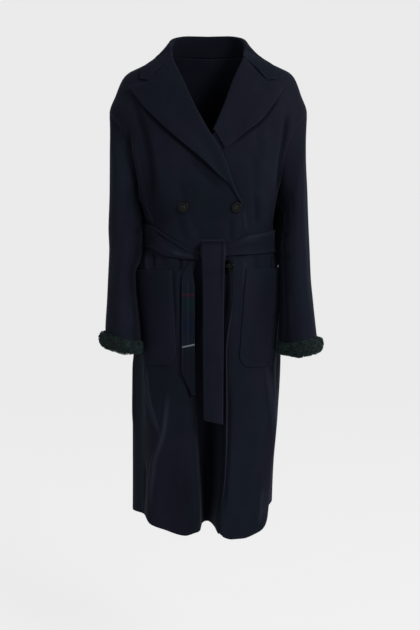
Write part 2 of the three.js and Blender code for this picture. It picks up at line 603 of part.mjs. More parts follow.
// A point along the gorge seam to the notch, and on to the tip of the collar's leaf.
function gorgePoint(side, start, t) {
  const notch = onFront(side * (NOTCH.x + NOTCH_GAP), NOTCH.z + NOTCH_GAP, CLOTH * 1.5 + 2);
  const tip = onFront(side * LEAF_TIP.x, LEAF_TIP.z, CLOTH * 1.5 + 3);
  const share = LEAF_COLUMNS[2];
  return t <= share ? new THREE.Vector3().lerpVectors(start, notch, t / share)
    : notch.lerp(tip, (t - share) / (1 - share));
}

// ---------------------------------------------------------------- sleeves and cuffs

const SLEEVE_COLUMNS = 20;
const SLEEVE_ROWS = [0, 0.035, 0.08, 0.14, 0.21, 0.29, 0.37, 0.46, 0.55, 0.65, 0.76, 0.88, 1];
const TUCK_TURN = radians(225);
const TUCK_HALF = radians(75);
const BODY_CLEARANCE = 3;
const POCKET_CLEARANCE = 9.8;

// A point round a sleeve: turn 0 is its outer side, 90 degrees its front.
function sleevePoint(side, table, z, turn, into) {
  const value = (column) => tableValue(table, 'z', z, column);
  const width = Math.abs(value('outer') - value('inner')) / 2 - into;
  const depth = SLEEVE_HALF_DEPTH - into;
  const off = Math.min(Math.abs(turn - TUCK_TURN) / TUCK_HALF, 1);
  const tuck = value('tuck') * Math.cos((off * Math.PI) / 2) ** 2;
  const y = value('middle') - depth * Math.sin(turn);
  const x = (value('outer') + value('inner')) / 2 + side * (width * Math.cos(turn) - tuck);
  const clear = into + CLOTH + mix(BODY_CLEARANCE, POCKET_CLEARANCE, ease(-z, 440, 500));
  const limit = xOfDepth(side, y, z, clear);
  return new THREE.Vector3(side * Math.max(side * x, side * limit), y, z);
}

function armholePoint(side, turn, lift) {
  const z = ARMHOLE.middle + (ARMHOLE.halfHeight - SEAM) * Math.cos(turn);
  const y = -(ARMHOLE.halfDepth - SEAM) * Math.sin(turn);
  const share = (Math.abs(y) / halfDepth(y, z)) ** (SQUARENESS / 2);
  const angle = side * (y < 0 ? Math.acos(share) : Math.PI - Math.acos(share));
  return onBody(angle, z, lift);
}

function sleeveEnd(side, turn) {
  const end = side < 0 ? SLEEVE_ENDS.right : SLEEVE_ENDS.left;
  return end.middle + end.tilt * Math.cos(turn);
}

const sleeveTurns = (count) => linspace(0, 2 * Math.PI, count).slice(0, -1);

function sleeve(name, side, table) {
  const layer = (into) => SLEEVE_ROWS.map((s) => sleeveTurns(SLEEVE_COLUMNS).map((turn) => {
    const start = armholePoint(side, turn, CLOTH - into);
    const z = mix(start.z, sleeveEnd(side, turn), s);
    return start.setZ(z).lerp(sleevePoint(side, table, z, turn, into), ease(s, 0, 0.14));
  }));
  return wall(name, 'wool', layer(0), layer(CLOTH), true);
}

const CUFF_COLUMNS = 24;
const CUFF_SECTION = 8;

// A fur roll round the sleeve's end: a ring whose section is an upright oval.
function cuff(name, side, table) {
  const points = [];
  const faces = [];
  for (const turn of sleeveTurns(CUFF_COLUMNS)) {
    const top = sleeveEnd(side, turn) - SEAM;
    const base = sleevePoint(side, table, top, turn, CLOTH / 2);
    const out = new THREE.Vector3(side * Math.cos(turn), -Math.sin(turn), 0);
    for (let k = 0; k < CUFF_SECTION; k += 1) {
      const around = radians(90) + (k * 2 * Math.PI) / CUFF_SECTION;
      const reach = (around === radians(90) ? 0 : CUFF.proud) + CUFF.halfWidth * Math.cos(around);
      const point = base.clone().addScaledVector(out, reach);
      point.z = top - CUFF.halfHeight * (1 - Math.sin(around));
      const clear = CLOTH + POCKET_CLEARANCE - 2;
      const limit = xOfDepth(side, point.y, point.z, clear);
      point.x = side * Math.max(side * point.x, side * limit + (k % 4 === 1 ? 1 : 0));
      points.push(point);
    }
  }
  for (let i = 0; i < CUFF_COLUMNS; i += 1) {
    for (let k = 0; k < CUFF_SECTION; k += 1) {
      const next = (i + 1) % CUFF_COLUMNS;
      const beside = (k + 1) % CUFF_SECTION;
      const corner = (ring, place) => ring * CUFF_SECTION + place;
      faces.push([corner(i, k), corner(next, k), corner(next, beside)]);
      faces.push([corner(i, k), corner(next, beside), corner(i, beside)]);
    }
  }
  return meshOf(name, 'fur', points, faces);
}

// ---------------------------------------------------------------- pockets

const POCKET_COLUMNS = 9;
const POCKET_ROWS = [0, 0.04, 0.14, 0.28, 0.42, 0.56, 0.7, 0.84, 0.95, 1];

// A patch made from the front's points, moved out; its mouth gapes a little.
function pocket(name, table, liftAt) {
  const place = (s, across) => {
    const value = (column) => tableValue(table, 's', s, column);
    const cut = POCKET_CORNER * ease(s, 0.88, 1) * (2 * Math.abs(across - 0.5)) ** 6;
    const z = value('z');
    const from = angleOfX(value('inner'), z);
    const to = angleOfX(value('outer'), z);
    const squeeze = 1 - 0.1 * ease(s, 0.9, 1);
    return { angle: mix(from, to, 0.5 + (across - 0.5) * squeeze), z: z + cut };
  };
  const layer = (extra) => POCKET_ROWS.map((s) => linspace(0, 1, POCKET_COLUMNS).map((across) => {
    const { angle, z } = place(s, across);
    const gape = POCKET.gape * (1 - ease(s, 0, 0.3)) * Math.sin(Math.PI * across) ** 0.7;
    const under = liftAt(angle, z) + CLOTH;
    return onBody(angle, z, under + POCKET.lift + gape + extra);
  }));
  return wall(name, 'wool', layer(POCKET.wall), layer(0));
}

// ---------------------------------------------------------------- belt

const BELT_COLUMNS = 44;
const BELT_ROWS = 3;

// Top of the cloth that the belt lies on.
function clothTop(angle, z) {
  const turned = angle < -Math.PI ? angle + 2 * Math.PI : angle;
  const covered = turned < 0 ? outerFrontLift(turned, z)
    : OVERLAP_LIFT * (1 - ease(surfacePoint(turned, z).x, 84, 104));
  return CLOTH + (Math.cos(turned) > 0 ? covered : 0);
}

function beltBand() {
  const places = linspace(0, 1, BELT_COLUMNS).map((share) => {
    const first = BELT_PATH[0].angle;
    return mix(first, BELT_PATH.at(-1).angle, share);
  });
  const layer = (extra) => linspace(0, 1, BELT_ROWS).map((down) => places.map((degrees) => {
    const top = tableValue(BELT_PATH, 'angle', degrees, 'top');
    const z = mix(top, tableValue(BELT_PATH, 'angle', degrees, 'bottom'), down);
    const angle = radians(degrees);
    return onBody(angle, z, clothTop(angle, z) + BELT.lift + extra);
  }));
  return wall('belt_band', 'wool', layer(BELT.wall), layer(0));
}

function beltKnot() {
  const shape = new THREE.SphereGeometry(1, 18, 12);
  const back = section(KNOT.z, 'front') + CLOTH + OVERLAP_LIFT + BELT.lift + BELT.wall - 2.2;
  const position = shape.attributes.position;
  const point = new THREE.Vector3();
  for (let i = 0; i < position.count; i += 1) {
    point.fromBufferAttribute(position, i);
    const size = Math.abs(point.x) ** KNOT.squareness + Math.abs(point.y) ** KNOT.squareness
      + Math.abs(point.z) ** KNOT.squareness;
    point.multiplyScalar(size ** (-1 / KNOT.squareness));
    position.setXYZ(i, KNOT.x + point.x * KNOT.halfWidth,
      -back - KNOT.halfDepth + point.z * KNOT.halfDepth, KNOT.z - point.y * KNOT.halfHeight);
  }
  const mesh = new THREE.Mesh(shape, new THREE.MeshStandardMaterial(MATERIALS.wool));
  mesh.name = 'belt_knot';
  return mesh;
}

function frontTail() {
  const heights = [-445, -449, -460, -476, -490, -504, -520, -545, -590, -640, -700, -760, -820, -870];
  const grid = heights.map((z) => linspace(0, 1, 4).map((across) => {
    const value = (column) => tableValue(FRONT_TAIL, 'z', z, column);
    const arch = 2.5 * Math.sin(Math.PI * across);
    const slant = 10 * across * ease(-z, 820, 870);
    const y = -section(z, 'front') - value('off') - arch;
    return new THREE.Vector3(mix(value('left'), value('right'), across), y, z - slant);
  }));
  return wallAround('belt_tail_front', 'wool', grid, BELT.tailWall);
}

// The second tail shows its reverse: a flat face, with its inner part turned into the fold.
function reverseTail() {
  const shares = [0, 0.22, 0.44, 0.6, 0.74, 0.87, 1];
  const faceShare = 0.44;
  const turnShare = 0.74;
  const heights = [-494, -502, -512, -522, -534, -548, -570, -610, -650, -690, -725, -756];
  const grid = heights.map((z) => shares.map((share) => {
    const value = (column) => tableValue(REVERSE_TAIL, 'z', z, column);
    const front = -section(z, 'front') - value('off');
    const bend = Math.min(7, value('face') * 0.4);
    const flat = value('face') - bend;
    const slant = 50 * Math.min(share / faceShare, 1.1) * ease(-z, 725, 756);
    const turn = THREE.MathUtils.clamp((share - faceShare) / (turnShare - faceShare), 0, 1);
    const along = Math.min(share / faceShare, 1) * flat + bend * Math.sin((turn * Math.PI) / 2);
    const deep = bend * (1 - Math.cos((turn * Math.PI) / 2))
      + value('inward') * Math.max(0, (share - turnShare) / (1 - turnShare));
    return new THREE.Vector3(value('start') + along, front + deep, z - slant);
  }));
  return wallAround('belt_tail_reverse', 'reverse', grid, BELT.tailWall);
}

// ---------------------------------------------------------------- buttons

function button({ name, x, z, shank }) {
  const { radius, thickness, rimWidth, dish } = BUTTON;
  const outline = [
    [0, 0], [radius - 1.6, 0], [radius, 1.4], [radius, thickness - 1.2],
    [radius - 1.2, thickness], [radius - rimWidth, thickness],
    [radius - rimWidth - 1.4, thickness - dish], [0, thickness - dish],
  ].map(([r, h]) => new THREE.Vector2(r, h));
  const shape = new THREE.LatheGeometry(outline, 16);
  const mesh = new THREE.Mesh(shape, new THREE.MeshStandardMaterial(MATERIALS.button));
  const angle = angleOfX(x, z);
  const under = outerLift(x, z) + CLOTH + shank;
  mesh.position.copy(onBody(angle, z, under));
  mesh.quaternion.setFromUnitVectors(new THREE.Vector3(0, 1, 0), surfaceNormal(angle, z));
  mesh.name = name;
  return mesh;
}

// ---------------------------------------------------------------- the coat

const coat = new THREE.Group();
coat.add(
  panel('back', backAngles, noLift),
  panel('front_right', outerFrontAngles, outerFrontLift),
  panel('front_left', underFrontAngles, noLift),
  lapel('lapel_right', RIGHT, LAPEL_EDGE_RIGHT, BREAK_HEIGHT + 4, outerRoll, outerLift),
  lapel('lapel_left', LEFT, LAPEL_EDGE_LEFT, UNDER_LAPEL_END, underRoll, noLift),
  collar(),
  sleeve('sleeve_right', RIGHT, SLEEVE_RIGHT),
  sleeve('sleeve_left', LEFT, SLEEVE_LEFT),
  cuff('cuff_right', RIGHT, SLEEVE_RIGHT),
  cuff('cuff_left', LEFT, SLEEVE_LEFT),
  pocket('pocket_right', POCKET_RIGHT, outerFrontLift),
  pocket('pocket_left', POCKET_LEFT, noLift),
  beltBand(),
  beltKnot(),
  frontTail(),
  reverseTail(),
  ...BUTTON_PLACES.map(button),
);

export default coat;
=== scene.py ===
"""A wool wrap coat: its cloth, seams, fur cuffs, buttons and belt, built round the packed frame.

Sizes in the tables are millimetres and degrees; meshes are in metres. The coat faces -Y, and
right and left are the wearer's. Angle 0 is the centre front, -90 the wearer's right side.
"""
import json
import math

import bmesh
import bpy
import numpy as np
from mathutils import Matrix, Vector

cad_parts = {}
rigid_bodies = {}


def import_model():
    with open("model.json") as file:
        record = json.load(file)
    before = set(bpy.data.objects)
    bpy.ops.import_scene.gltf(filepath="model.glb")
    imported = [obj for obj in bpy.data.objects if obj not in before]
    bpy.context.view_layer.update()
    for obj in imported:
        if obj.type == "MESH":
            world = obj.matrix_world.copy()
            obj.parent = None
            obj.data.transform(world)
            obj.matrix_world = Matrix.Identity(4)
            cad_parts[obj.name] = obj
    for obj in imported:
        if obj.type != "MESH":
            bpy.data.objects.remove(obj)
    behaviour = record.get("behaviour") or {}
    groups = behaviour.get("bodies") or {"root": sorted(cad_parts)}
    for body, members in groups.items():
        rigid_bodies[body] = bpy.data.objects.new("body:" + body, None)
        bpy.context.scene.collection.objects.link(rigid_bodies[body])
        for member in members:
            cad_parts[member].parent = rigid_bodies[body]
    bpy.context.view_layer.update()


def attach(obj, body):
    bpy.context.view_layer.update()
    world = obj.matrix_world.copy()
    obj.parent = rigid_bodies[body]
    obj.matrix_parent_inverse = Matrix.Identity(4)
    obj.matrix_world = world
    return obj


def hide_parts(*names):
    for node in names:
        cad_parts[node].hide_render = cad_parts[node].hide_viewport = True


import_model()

bl_info = {
    "name": "Wool coat",
    "version": (1, 0, 0),
    "blender": (4, 5, 0),
    "location": "3D View > Sidebar > Coat",
    "description": "Cloth, seams, fur cuffs, buttons and belt of a double-faced wool wrap coat",
    "category": "Object",
}

MM = 0.001

# ---------------------------------------------------------------- sizes shared by the pieces

CLOTH = 2.6
SEAM = 0.4
LAYER = 0.5
OVERLAP_LIFT = CLOTH + LAYER
ROLL_RADIUS = 3.2
ROLL_REACH = ROLL_RADIUS + CLOTH / 2
SIDE_GAP = 0.12
ROLL_SETBACK = ROLL_REACH + 0.9
SQUARENESS = 2.3
NECK_HEIGHT = 20
BREAK_HEIGHT = -356
GORGE_HEIGHT = -3
SKIRT_HEIGHT = -520
HEM_MIDDLE = -1140
ARMHOLE_MIDDLE, ARMHOLE_HALF_HEIGHT, ARMHOLE_HALF_DEPTH = -232, 103, 62
RIGHT, LEFT = -1, 1
FRONT, BACK = -1, 1


def rows(columns, *lines):
    """A table: one dictionary for each line, keyed by the names of its columns."""
    names = columns.split()
    return [dict(zip(names, line)) for line in lines]


SECTIONS = rows(
    "z right left front back",
    (20, 101, 101, 42, 78), (8, 122, 122, 52, 84), (-7, 147, 152, 62, 90),
    (-20, 173, 180, 70, 95), (-32, 197, 203, 77, 99), (-46, 210, 214, 85, 103),
    (-86, 227, 229, 104, 112), (-129, 242, 243, 115, 119), (-170, 226, 227, 125, 124),
    (-232, 204, 204, 134, 126), (-290, 187, 187, 137, 121), (-335, 171, 170, 132, 112),
    (-370, 158, 163, 124, 103), (-405, 151, 159, 117, 97), (-445, 151, 159, 115, 95),
    (-480, 160, 165, 119, 102), (-520, 179, 174, 130, 117), (-600, 184, 180, 140, 130),
    (-725, 184, 180, 147, 137), (-882, 186, 173, 150, 142), (-1020, 186, 162, 152, 146),
    (-1165, 187, 157, 153, 149),
)
HEM = rows(
    "angle z",
    (-180, -1130), (-130, -1122), (-90, -1113), (-62, -1111), (-50, -1114), (-42, -1127),
    (-30, -1138), (-14, -1148), (-5.7, -1139), (0, -1135), (5.5, -1136), (8, -1143),
    (12, -1154), (20, -1160), (30, -1160), (42, -1149), (52, -1136), (62, -1112),
    (90, -1098), (130, -1112), (180, -1130),
)
OUTER_FRONT = rows(
    "z fold edge",
    (20, -92, -84), (8, -98, -86), (-3, -100, -84), (-60, -98, -59), (-130, -85, -27),
    (-190, -60, 6), (-210, -55, 19), (-241, -51, 36), (-294, -48, 55), (-325, -46, 66),
    (-356, -45, 81), (-400, -44, 80), (-445, -46, 72), (-500, -51, 65), (-565, -52, 64),
    (-713, -51, 47), (-850, -43, 48), (-909, -39, 48), (-1007, -33, 44.5), (-1052, -29, 40),
    (-1100, -26, 33), (-1165, -25, 28),
)
UNDER_FRONT = rows(
    "z hidden covered",
    (20, 84, 92), (8, 87, 99), (-3, 84, 102), (-60, 60, 98), (-130, 34, 84), (-190, 7, 64),
    (-215, -14, 56), (-241, -44, 46),
)
SHARED_HEIGHT = -294
VALLEY_DEPTH = rows(
    "z depth",
    (20, 0), (-470, 0), (-520, 18), (-650, 52), (-800, 78), (-1000, 98), (-1165, 103),
)
VALLEY_PROFILE = rows(
    "across deep",
    (-0.25, 0), (-0.08, 0.015), (0.03, 0.16), (0.06, 0.5), (0.11, 0.84), (0.26, 0.99),
    (0.46, 1), (0.64, 0.84), (0.79, 0.5), (0.91, 0.16), (1, 0),
)

# Large folds: height is out of the body, or in if negative. Each runs down through its path.
FOLDS = rows(
    "half_angle height path",
    (8, 9, ((-780, -28), (-1165, -45))), (8, 5, ((-740, -52), (-930, -38))),
    (10, -9, ((-600, -68), (-1165, -60))), (9, 10, ((-700, 52), (-940, 64), (-1165, 46))),
    (10, -8, ((-560, 74), (-1165, 76))), (12, -7, ((-760, 30), (-1165, 22))),
    (14, 9, ((-470, 128), (-1165, 118))), (13, -8, ((-480, 150), (-1165, 146))),
    (13, 9, ((-470, 176), (-1165, 170))), (13, -9, ((-480, -162), (-1165, -166))),
    (14, 8, ((-470, -134), (-1165, -140))), (12, -6, ((-500, -112), (-1165, -112))),
    (12, 5, ((-150, -40), (-430, -34))), (11, -5, ((-190, -60), (-440, -52))),
    (12, 5, ((-170, 62), (-440, 48))), (14, 6, ((-230, 160), (-440, 150))),
    (14, 6, ((-230, -155), (-440, -150))),
)

# Soft creases: height is out of the cloth, and tone is lighter if positive. On the front and back a path
# is (x, z), on a side (y, z).
# Tone is painted light: positive tone paints a highlight along a crease's crest, negative tone paints
# shade in its hollow.
CREASES = rows(
    "face half_width height tone path",
    ("front", 9, -6, -0.8, ((-186, -81), (-157, -171), (-140, -242), (-130, -323), (-127, -386))),
    ("front", 8, 5, 0.25, ((-180, -182), (-168, -262), (-152, -359), (-143, -400))),
    ("front", 4, 3, 0.45, ((-162, -336), (-145, -376), (-127, -408))),
    ("front", 6, -2, -0.3, ((-69, -301), (-57, -339), (-50, -355))),
    ("front", 9, -4, -0.5, ((-48, -234), (-24, -268), (10, -301), (43, -332))),
    ("front", 7, 2, 0.15, ((-53, -377), (-43, -415), (-34, -451))),
    ("front", 6, -2.2, -0.2, ((-74, -377), (-65, -415), (-53, -451))),
    ("front", 5, -2, -0.25, ((-22, -401), (-19, -430), (-14, -458))),
    ("front", 3, 1.6, 0.45, ((84, -365), (88, -396), (92, -427))),
    ("front", 6, -3, -0.5, ((55, -382), (55, -420), (53, -454))),
    ("front", 6, -3.5, -0.5, ((111, -324), (116, -377), (116, -420))),
    ("front", 7, 2, 0.15, ((130, -324), (136, -376), (131, -415))),
    ("front", 12, 4, 0.15, ((130, -150), (140, -227), (130, -316))),
    ("front", 8, -2.5, -0.2, ((105, -228), (110, -288), (111, -343))),
    ("front", 7, -6, -0.95, ((192, -113), (185, -189), (173, -262), (166, -350))),
    ("front", 7, -6, -0.95, ((-195, -152), (-188, -225), (-177, -292), (-166, -358))),
    ("front", 5, 3, 0.4, ((-151, -464), (-149, -498), (-145, -527))),
    ("front", 4, -4, -0.7, ((-132, -464), (-131, -493), (-130, -519))),
    ("front", 11, -3, -0.2, ((-111, -478), (-108, -497), (-106, -516))),
    ("front", 3.5, -2, -0.5, ((-84, -497), (-79, -582), (-75, -668))),
    ("front", 5, -4, -0.9, ((-66, -478), (-65, -500), (-68, -524))),
    ("front", 3, -2, -0.8, ((-67, -512), (-65, -600), (-66, -710))),
    ("front", 4.5, -3, -1, ((44, -466), (46, -540), (44, -640))),
    ("front", 5, 3, 0.35, ((-70, -487), (-69, -551), (-69, -611), (-67, -694))),
    ("front", 4, 2.2, 0.35, ((87, -478), (86, -516), (81, -568))),
    ("front", 7, -3, -0.4, ((114, -476), (116, -497), (116, -516))),
    ("front", 3, -3, -0.7, ((152, -474), (153, -498), (153, -527))),
    ("front", 4, 3, 0.3, ((167, -470), (169, -499), (170, -528))),
    ("front", 4.5, 4, 0.45, ((159, -530), (155, -619), (147, -698), (142, -755), (150, -831),
                             (158, -895), (159, -947), (148, -991), (140, -1035))),
    ("front", 4, 2.4, 0.6, ((134, -1028), (129, -1068), (126, -1104), (119, -1140))),
    ("front", 3, 1.8, 0.4, ((142, -1040), (137, -1080), (129, -1118))),
    ("front", 4, 4, 0.6, ((-155, -711), (-145, -801), (-139, -836), (-127, -875), (-117, -906),
                          (-114, -939))),
    ("front", 5, 5, 0.7, ((-93, -777), (-99, -844), (-105, -894), (-112, -925), (-127, -967),
                          (-132, -1009), (-137, -1043), (-138, -1120))),
    ("front", 2.5, -3, -0.8, ((-151, -971), (-151, -1034), (-151, -1101))),
    ("front", 3.4, -3, -1, ((52, -740), (51, -895), (47.5, -989), (41, -1072), (33, -1140))),
    ("front", 4, -4, -0.4, ((-10, -971), (-10, -1058), (-7, -1137))),
    # These two rows have no height: they paint the shadow that each lapel's lower edge casts on the
    # front.
    ("front", 4, 0, -1.2, ((-184, -84), (-150, -130), (-112, -169), (-78, -201), (-15, -255),
                           (23, -292), (52, -319), (70, -352))),
    ("front", 4, 0, -1.2, ((184, -76), (157, -122), (127, -161), (95, -186), (42, -230))),
    ("back", 12, -5, -0.4, ((150, -120), (132, -215), (118, -320), (112, -392))),
    ("back", 12, -5, -0.4, ((-146, -124), (-130, -222), (-112, -318), (-106, -392))),
    ("back", 14, 4, 0.2, ((96, -190), (84, -300), (74, -392))),
    ("back", 13, 4, 0.2, ((-88, -170), (-82, -290), (-66, -392))),
    ("back", 9, -3, -0.3, ((28, -300), (20, -350), (24, -396))),
    ("back", 8, -3, -0.3, ((-24, -312), (-28, -356), (-20, -396))),
    ("back", 7, 2.5, 0.25, ((2, -318), (-2, -360), (4, -396))),
    ("back", 7, -3.5, -0.4, ((62, -464), (66, -520), (58, -596))),
    ("back", 6, 3, 0.3, ((40, -462), (42, -530), (50, -640), (46, -740))),
    ("back", 7, -3.5, -0.4, ((-46, -464), (-52, -530), (-48, -610))),
    ("back", 6, 3, 0.3, ((-80, -464), (-84, -540), (-78, -660), (-88, -780))),
    ("back", 6, -3, -0.35, ((8, -464), (4, -540), (12, -640))),
    ("back", 6, 4, 0.55, ((112, -700), (104, -820), (112, -930), (100, -1060), (104, -1128))),
    ("back", 5, 4, 0.5, ((-62, -760), (-70, -860), (-60, -960), (-72, -1100))),
    ("back", 5, 3, 0.4, ((24, -820), (30, -930), (22, -1040), (28, -1128))),
    ("back", 4, -3, -0.5, ((-110, -800), (-116, -930), (-108, -1080))),
    ("back", 5, 3.5, 0.5, ((-142, -640), (-136, -760), (-146, -900), (-138, -1060))),
    ("right", 8, -3, -0.4, ((36, -560), (32, -620), (38, -700))),
    ("right", 7, 3.5, 0.3, ((-34, -700), (-36, -730), (-28, -760), (-38, -930))),
    ("right", 6, 3.5, 0.5, ((58, -620), (50, -760), (60, -900), (52, -1080))),
    ("right", 5, -3, -0.5, ((4, -760), (-4, -900), (6, -1070))),
    ("left", 8, -3, -0.4, ((36, -560), (40, -620), (32, -720))),
    ("left", 7, 3.5, 0.4, ((-30, -700), (-26, -740), (-36, -780), (-30, -940))),
    ("left", 6, 3.5, 0.5, ((56, -600), (64, -760), (54, -920), (62, -1070))),
    ("left", 5, -3, -0.5, ((18, -780), (10, -920), (20, -1060))),
)
# The same along a belt: a path is (angle, share of the width from the top), and a width is a share.
BELT_CREASES = rows(
    "half_width height tone path",
    (0.06, -2.2, -1, ((-60, 0.16), (-44, 0.17), (-30, 0.22), (-15, 0.3), (-4, 0.4))),
    (0.13, 2, 0.3, ((-62, 0.5), (-44, 0.6), (-30, 0.66), (-16, 0.7))),
    (0.15, 4, 0.45, ((-30, 0.72), (-16, 0.72), (-4, 0.62))),
    (0.12, -1.5, -0.25, ((-78, 0.5), (-44, 0.56), (-18, 0.52))),
    (0.07, 1, 0.5, ((-280, 0.07), (-308, 0.09), (-338, 0.14))),
    (0.12, -2, -0.35, ((-300, 0.5), (-325, 0.52), (-349, 0.5))),
    (0.1, -1.6, -0.25, ((-288, 0.76), (-318, 0.74), (-346, 0.66))),
    (0.1, 1.6, 0.2, ((-308, 0.32), (-330, 0.34), (-349, 0.4))),
    (0.12, -1.4, -0.25, ((-250, 0.4), (-205, 0.5), (-160, 0.44))),
    (0.1, 1.2, 0.2, ((-235, 0.68), (-190, 0.74), (-140, 0.66))),
    (0.12, -1.4, -0.25, ((-135, 0.36), (-110, 0.46), (-84, 0.4))),
)
# The same on a sleeve: a path is (turn in degrees, z).
SLEEVE_CREASES = {
    RIGHT: rows(
        "half_width height tone path",
        (6, -2.5, -0.3, ((150, -250), (120, -330), (105, -420))),
        (7, 2.5, 0.2, ((60, -260), (72, -380), (66, -500), (74, -640))),
        (6, -2.5, -0.3, ((178, -380), (150, -415), (122, -430))),
        (6, -2.2, -0.25, ((182, -452), (152, -470), (118, -466))),
        (6, -2.2, -0.3, ((300, -300), (285, -380), (270, -440), (262, -560))),
        (7, 2.5, 0.25, ((330, -260), (318, -400), (322, -560), (312, -650))),
        (6, -2.6, -0.35, ((250, -380), (220, -405), (196, -432))),
        (5, -2.2, -0.3, ((262, -430), (228, -452), (200, -474))),
        (5, 2, 0.25, ((140, -560), (132, -610), (136, -660))),
    ),
    LEFT: rows(
        "half_width height tone path",
        (6, -2.5, -0.3, ((148, -240), (124, -320), (110, -400))),
        (7, 2.5, 0.25, ((52, -240), (62, -360), (54, -480), (60, -640))),
        (6, -2.4, -0.3, ((180, -395), (150, -425), (120, -440))),
        (6, -2, -0.25, ((182, -470), (150, -486), (112, -480))),
        (6, -2.2, -0.3, ((305, -280), (288, -370), (275, -450), (268, -560))),
        (7, 2.5, 0.25, ((335, -280), (322, -410), (328, -560), (318, -660))),
        (6, -2.6, -0.35, ((254, -390), (224, -412), (198, -440))),
        (5, -2.2, -0.3, ((258, -440), (226, -462), (202, -484))),
        (5, 2, 0.2, ((136, -560), (128, -620), (134, -668))),
    ),
}

SLEEVE_RIGHT = rows(
    "z outer inner middle tuck",
    (-129, -242, -196, 0, 0), (-232, -244, -190, -5, 2), (-320, -244, -180, -14, 16),
    (-370, -245, -168, -21, 26), (-410, -246, -162, -27, 28), (-470, -243, -163, -42, 34),
    (-530, -244, -178, -62, 34), (-590, -245, -174, -84, 26), (-650, -247, -168, -105, 18),
    (-700, -246, -164, -118, 10),
)
SLEEVE_LEFT = rows(
    "z outer inner middle tuck",
    (-129, 243, 198, 0, 0), (-232, 243, 197, -5, 4), (-320, 246, 192, -14, 26),
    (-400, 248, 186, -26, 40), (-470, 250, 179, -42, 44), (-530, 251, 181, -60, 46),
    (-590, 255, 183, -80, 34), (-650, 260, 182, -98, 30), (-700, 265, 180, -110, 24),
)
SLEEVE_HALF_DEPTH = 63
SLEEVE_ENDS = {RIGHT: (-673, 13), LEFT: (-682, 8)}
SLEEVE_TABLES = {RIGHT: SLEEVE_RIGHT, LEFT: SLEEVE_LEFT}
CUFF_HALF_HEIGHT, CUFF_HALF_WIDTH, CUFF_PROUD, CUFF_CLEARANCE = 19, 11, 5, 7.8
BODY_CLEARANCE, POCKET_CLEARANCE = 0.6, 6.4
TUCK_TURN, TUCK_HALF = math.radians(236), math.radians(66)

LAPEL_EDGE_RIGHT = rows(
    "s x z",
    (0, -187, -76), (0.15, -150, -125), (0.3, -111, -165), (0.42, -77, -197),
    (0.62, -14, -251), (0.76, 24, -287), (0.88, 53, -314), (1, 76, -352),
)
LAPEL_EDGE_LEFT = rows(
    "s x z",
    (0, 184, -68), (0.25, 155, -117), (0.5, 125, -157), (0.7, 94, -182), (1, 40, -226),
)
UNDER_LAPEL_END = -183
NOTCH_X, NOTCH_Z, NOTCH_GAP, NOTCH_SHARE = 141, -60, 0.6, 0.64
LEAF_TIP_X, LEAF_TIP_Z, LEAF_NOTCH_SHARE = 164, -54, 0.72

COLLAR = rows(
    "s seam_angle seam_z fold_x fold_y fold_z leaf_angle leaf_z",
    (0, 180, 20, 0, 74, 75, 180, 0), (0.2, 149, 20, 45, 66, 74, 150, 1),
    (0.38, 118, 20, 77, 36, 64, 118, 5), (0.52, 92, 20, 88, 6, 51, 91, 11),
    (0.68, 73, 20, 90, -14, 37, 66, -2), (0.77, 60, 20, 91, -24, 29, 61, -13),
    (0.86, 47, 11, 90, -35, 18, 56, -26),
)
STAND_GAP = CLOTH / 2 + 1

BELT_LIFT, BELT_WALL = 2.2, 3
BELT_PATH = rows(
    "angle top bottom",
    (-352, -463, -484), (-346, -456, -482), (-327, -432, -479), (-300, -423, -475),
    (-270, -414, -472), (-225, -402, -462), (-180, -400, -460), (-135, -400, -460),
    (-90, -401, -460), (-60, -409, -464), (-30, -441, -485), (-14, -466, -491),
    (-5, -470, -490),
)
KNOT_X, KNOT_Z = 12, -474
KNOT_HALF_WIDTH, KNOT_HALF_DEPTH, KNOT_HALF_HEIGHT, KNOT_SQUARENESS = 31, 14, 22, 2.8
KNOT_BACK_SET = 2.2
FRONT_TAIL = rows(
    "z left right off",
    (-444, -13, 39, 13), (-446, -14, 40, 24), (-451, -15, 41, 32), (-459, -15, 41, 37),
    (-470, -15, 41, 38.6), (-500, -14, 40, 35),
    (-530, -13, 39, 24), (-600, -12, 38, 17), (-700, -12, 37, 15), (-870, -10, 36, 15),
)
REVERSE_TAIL = rows(
    "z start face inward off",
    (-494, -42, 15, 3, 8.1), (-512, -52, 17, 4, 7.7), (-532, -61, 25, 9, 7.5),
    (-560, -62, 29, 17, 7.3), (-700, -62, 29, 22, 7.3), (-810, -62, 29, 22, 7.3),
)
POCKET_LIFT, POCKET_GAPE, POCKET_CORNER = 1.2, 2.6, 14
POCKETS = {
    RIGHT: rows("s z inner outer", (0, -518, -84, -180), (0.5, -630, -78, -170), (1, -742, -72, -154)),
    LEFT: rows("s z inner outer", (0, -514, 90, 173), (0.5, -630, 81, 169), (1, -747, 72, 160)),
}
BUTTON_RADIUS, BUTTON_THICKNESS = 13, 4.6
BUTTONS = rows(
    "name x z shank",
    ("button_upper_inner", -57, -363, 0.6), ("button_upper_outer", 66, -363, 0.6),
    ("button_lower", 50, -507, 1.9),
)

# ---------------------------------------------------------------- small helpers


def ease(value, start, end):
    t = np.clip((np.asarray(value, float) - start) / (end - start), 0, 1)
    return t * t * (3 - 2 * t)


def mix(a, b, share):
    return a + (b - a) * share


def unit(vectors):
    return vectors / np.linalg.norm(vectors, axis=-1, keepdims=True)


def finer(places, times):
    """The same places with each step cut into equal parts."""
    parts = [np.linspace(a, b, times, endpoint=False) for a, b in zip(places[:-1], places[1:])]
    return np.concatenate([*parts, [places[-1]]])


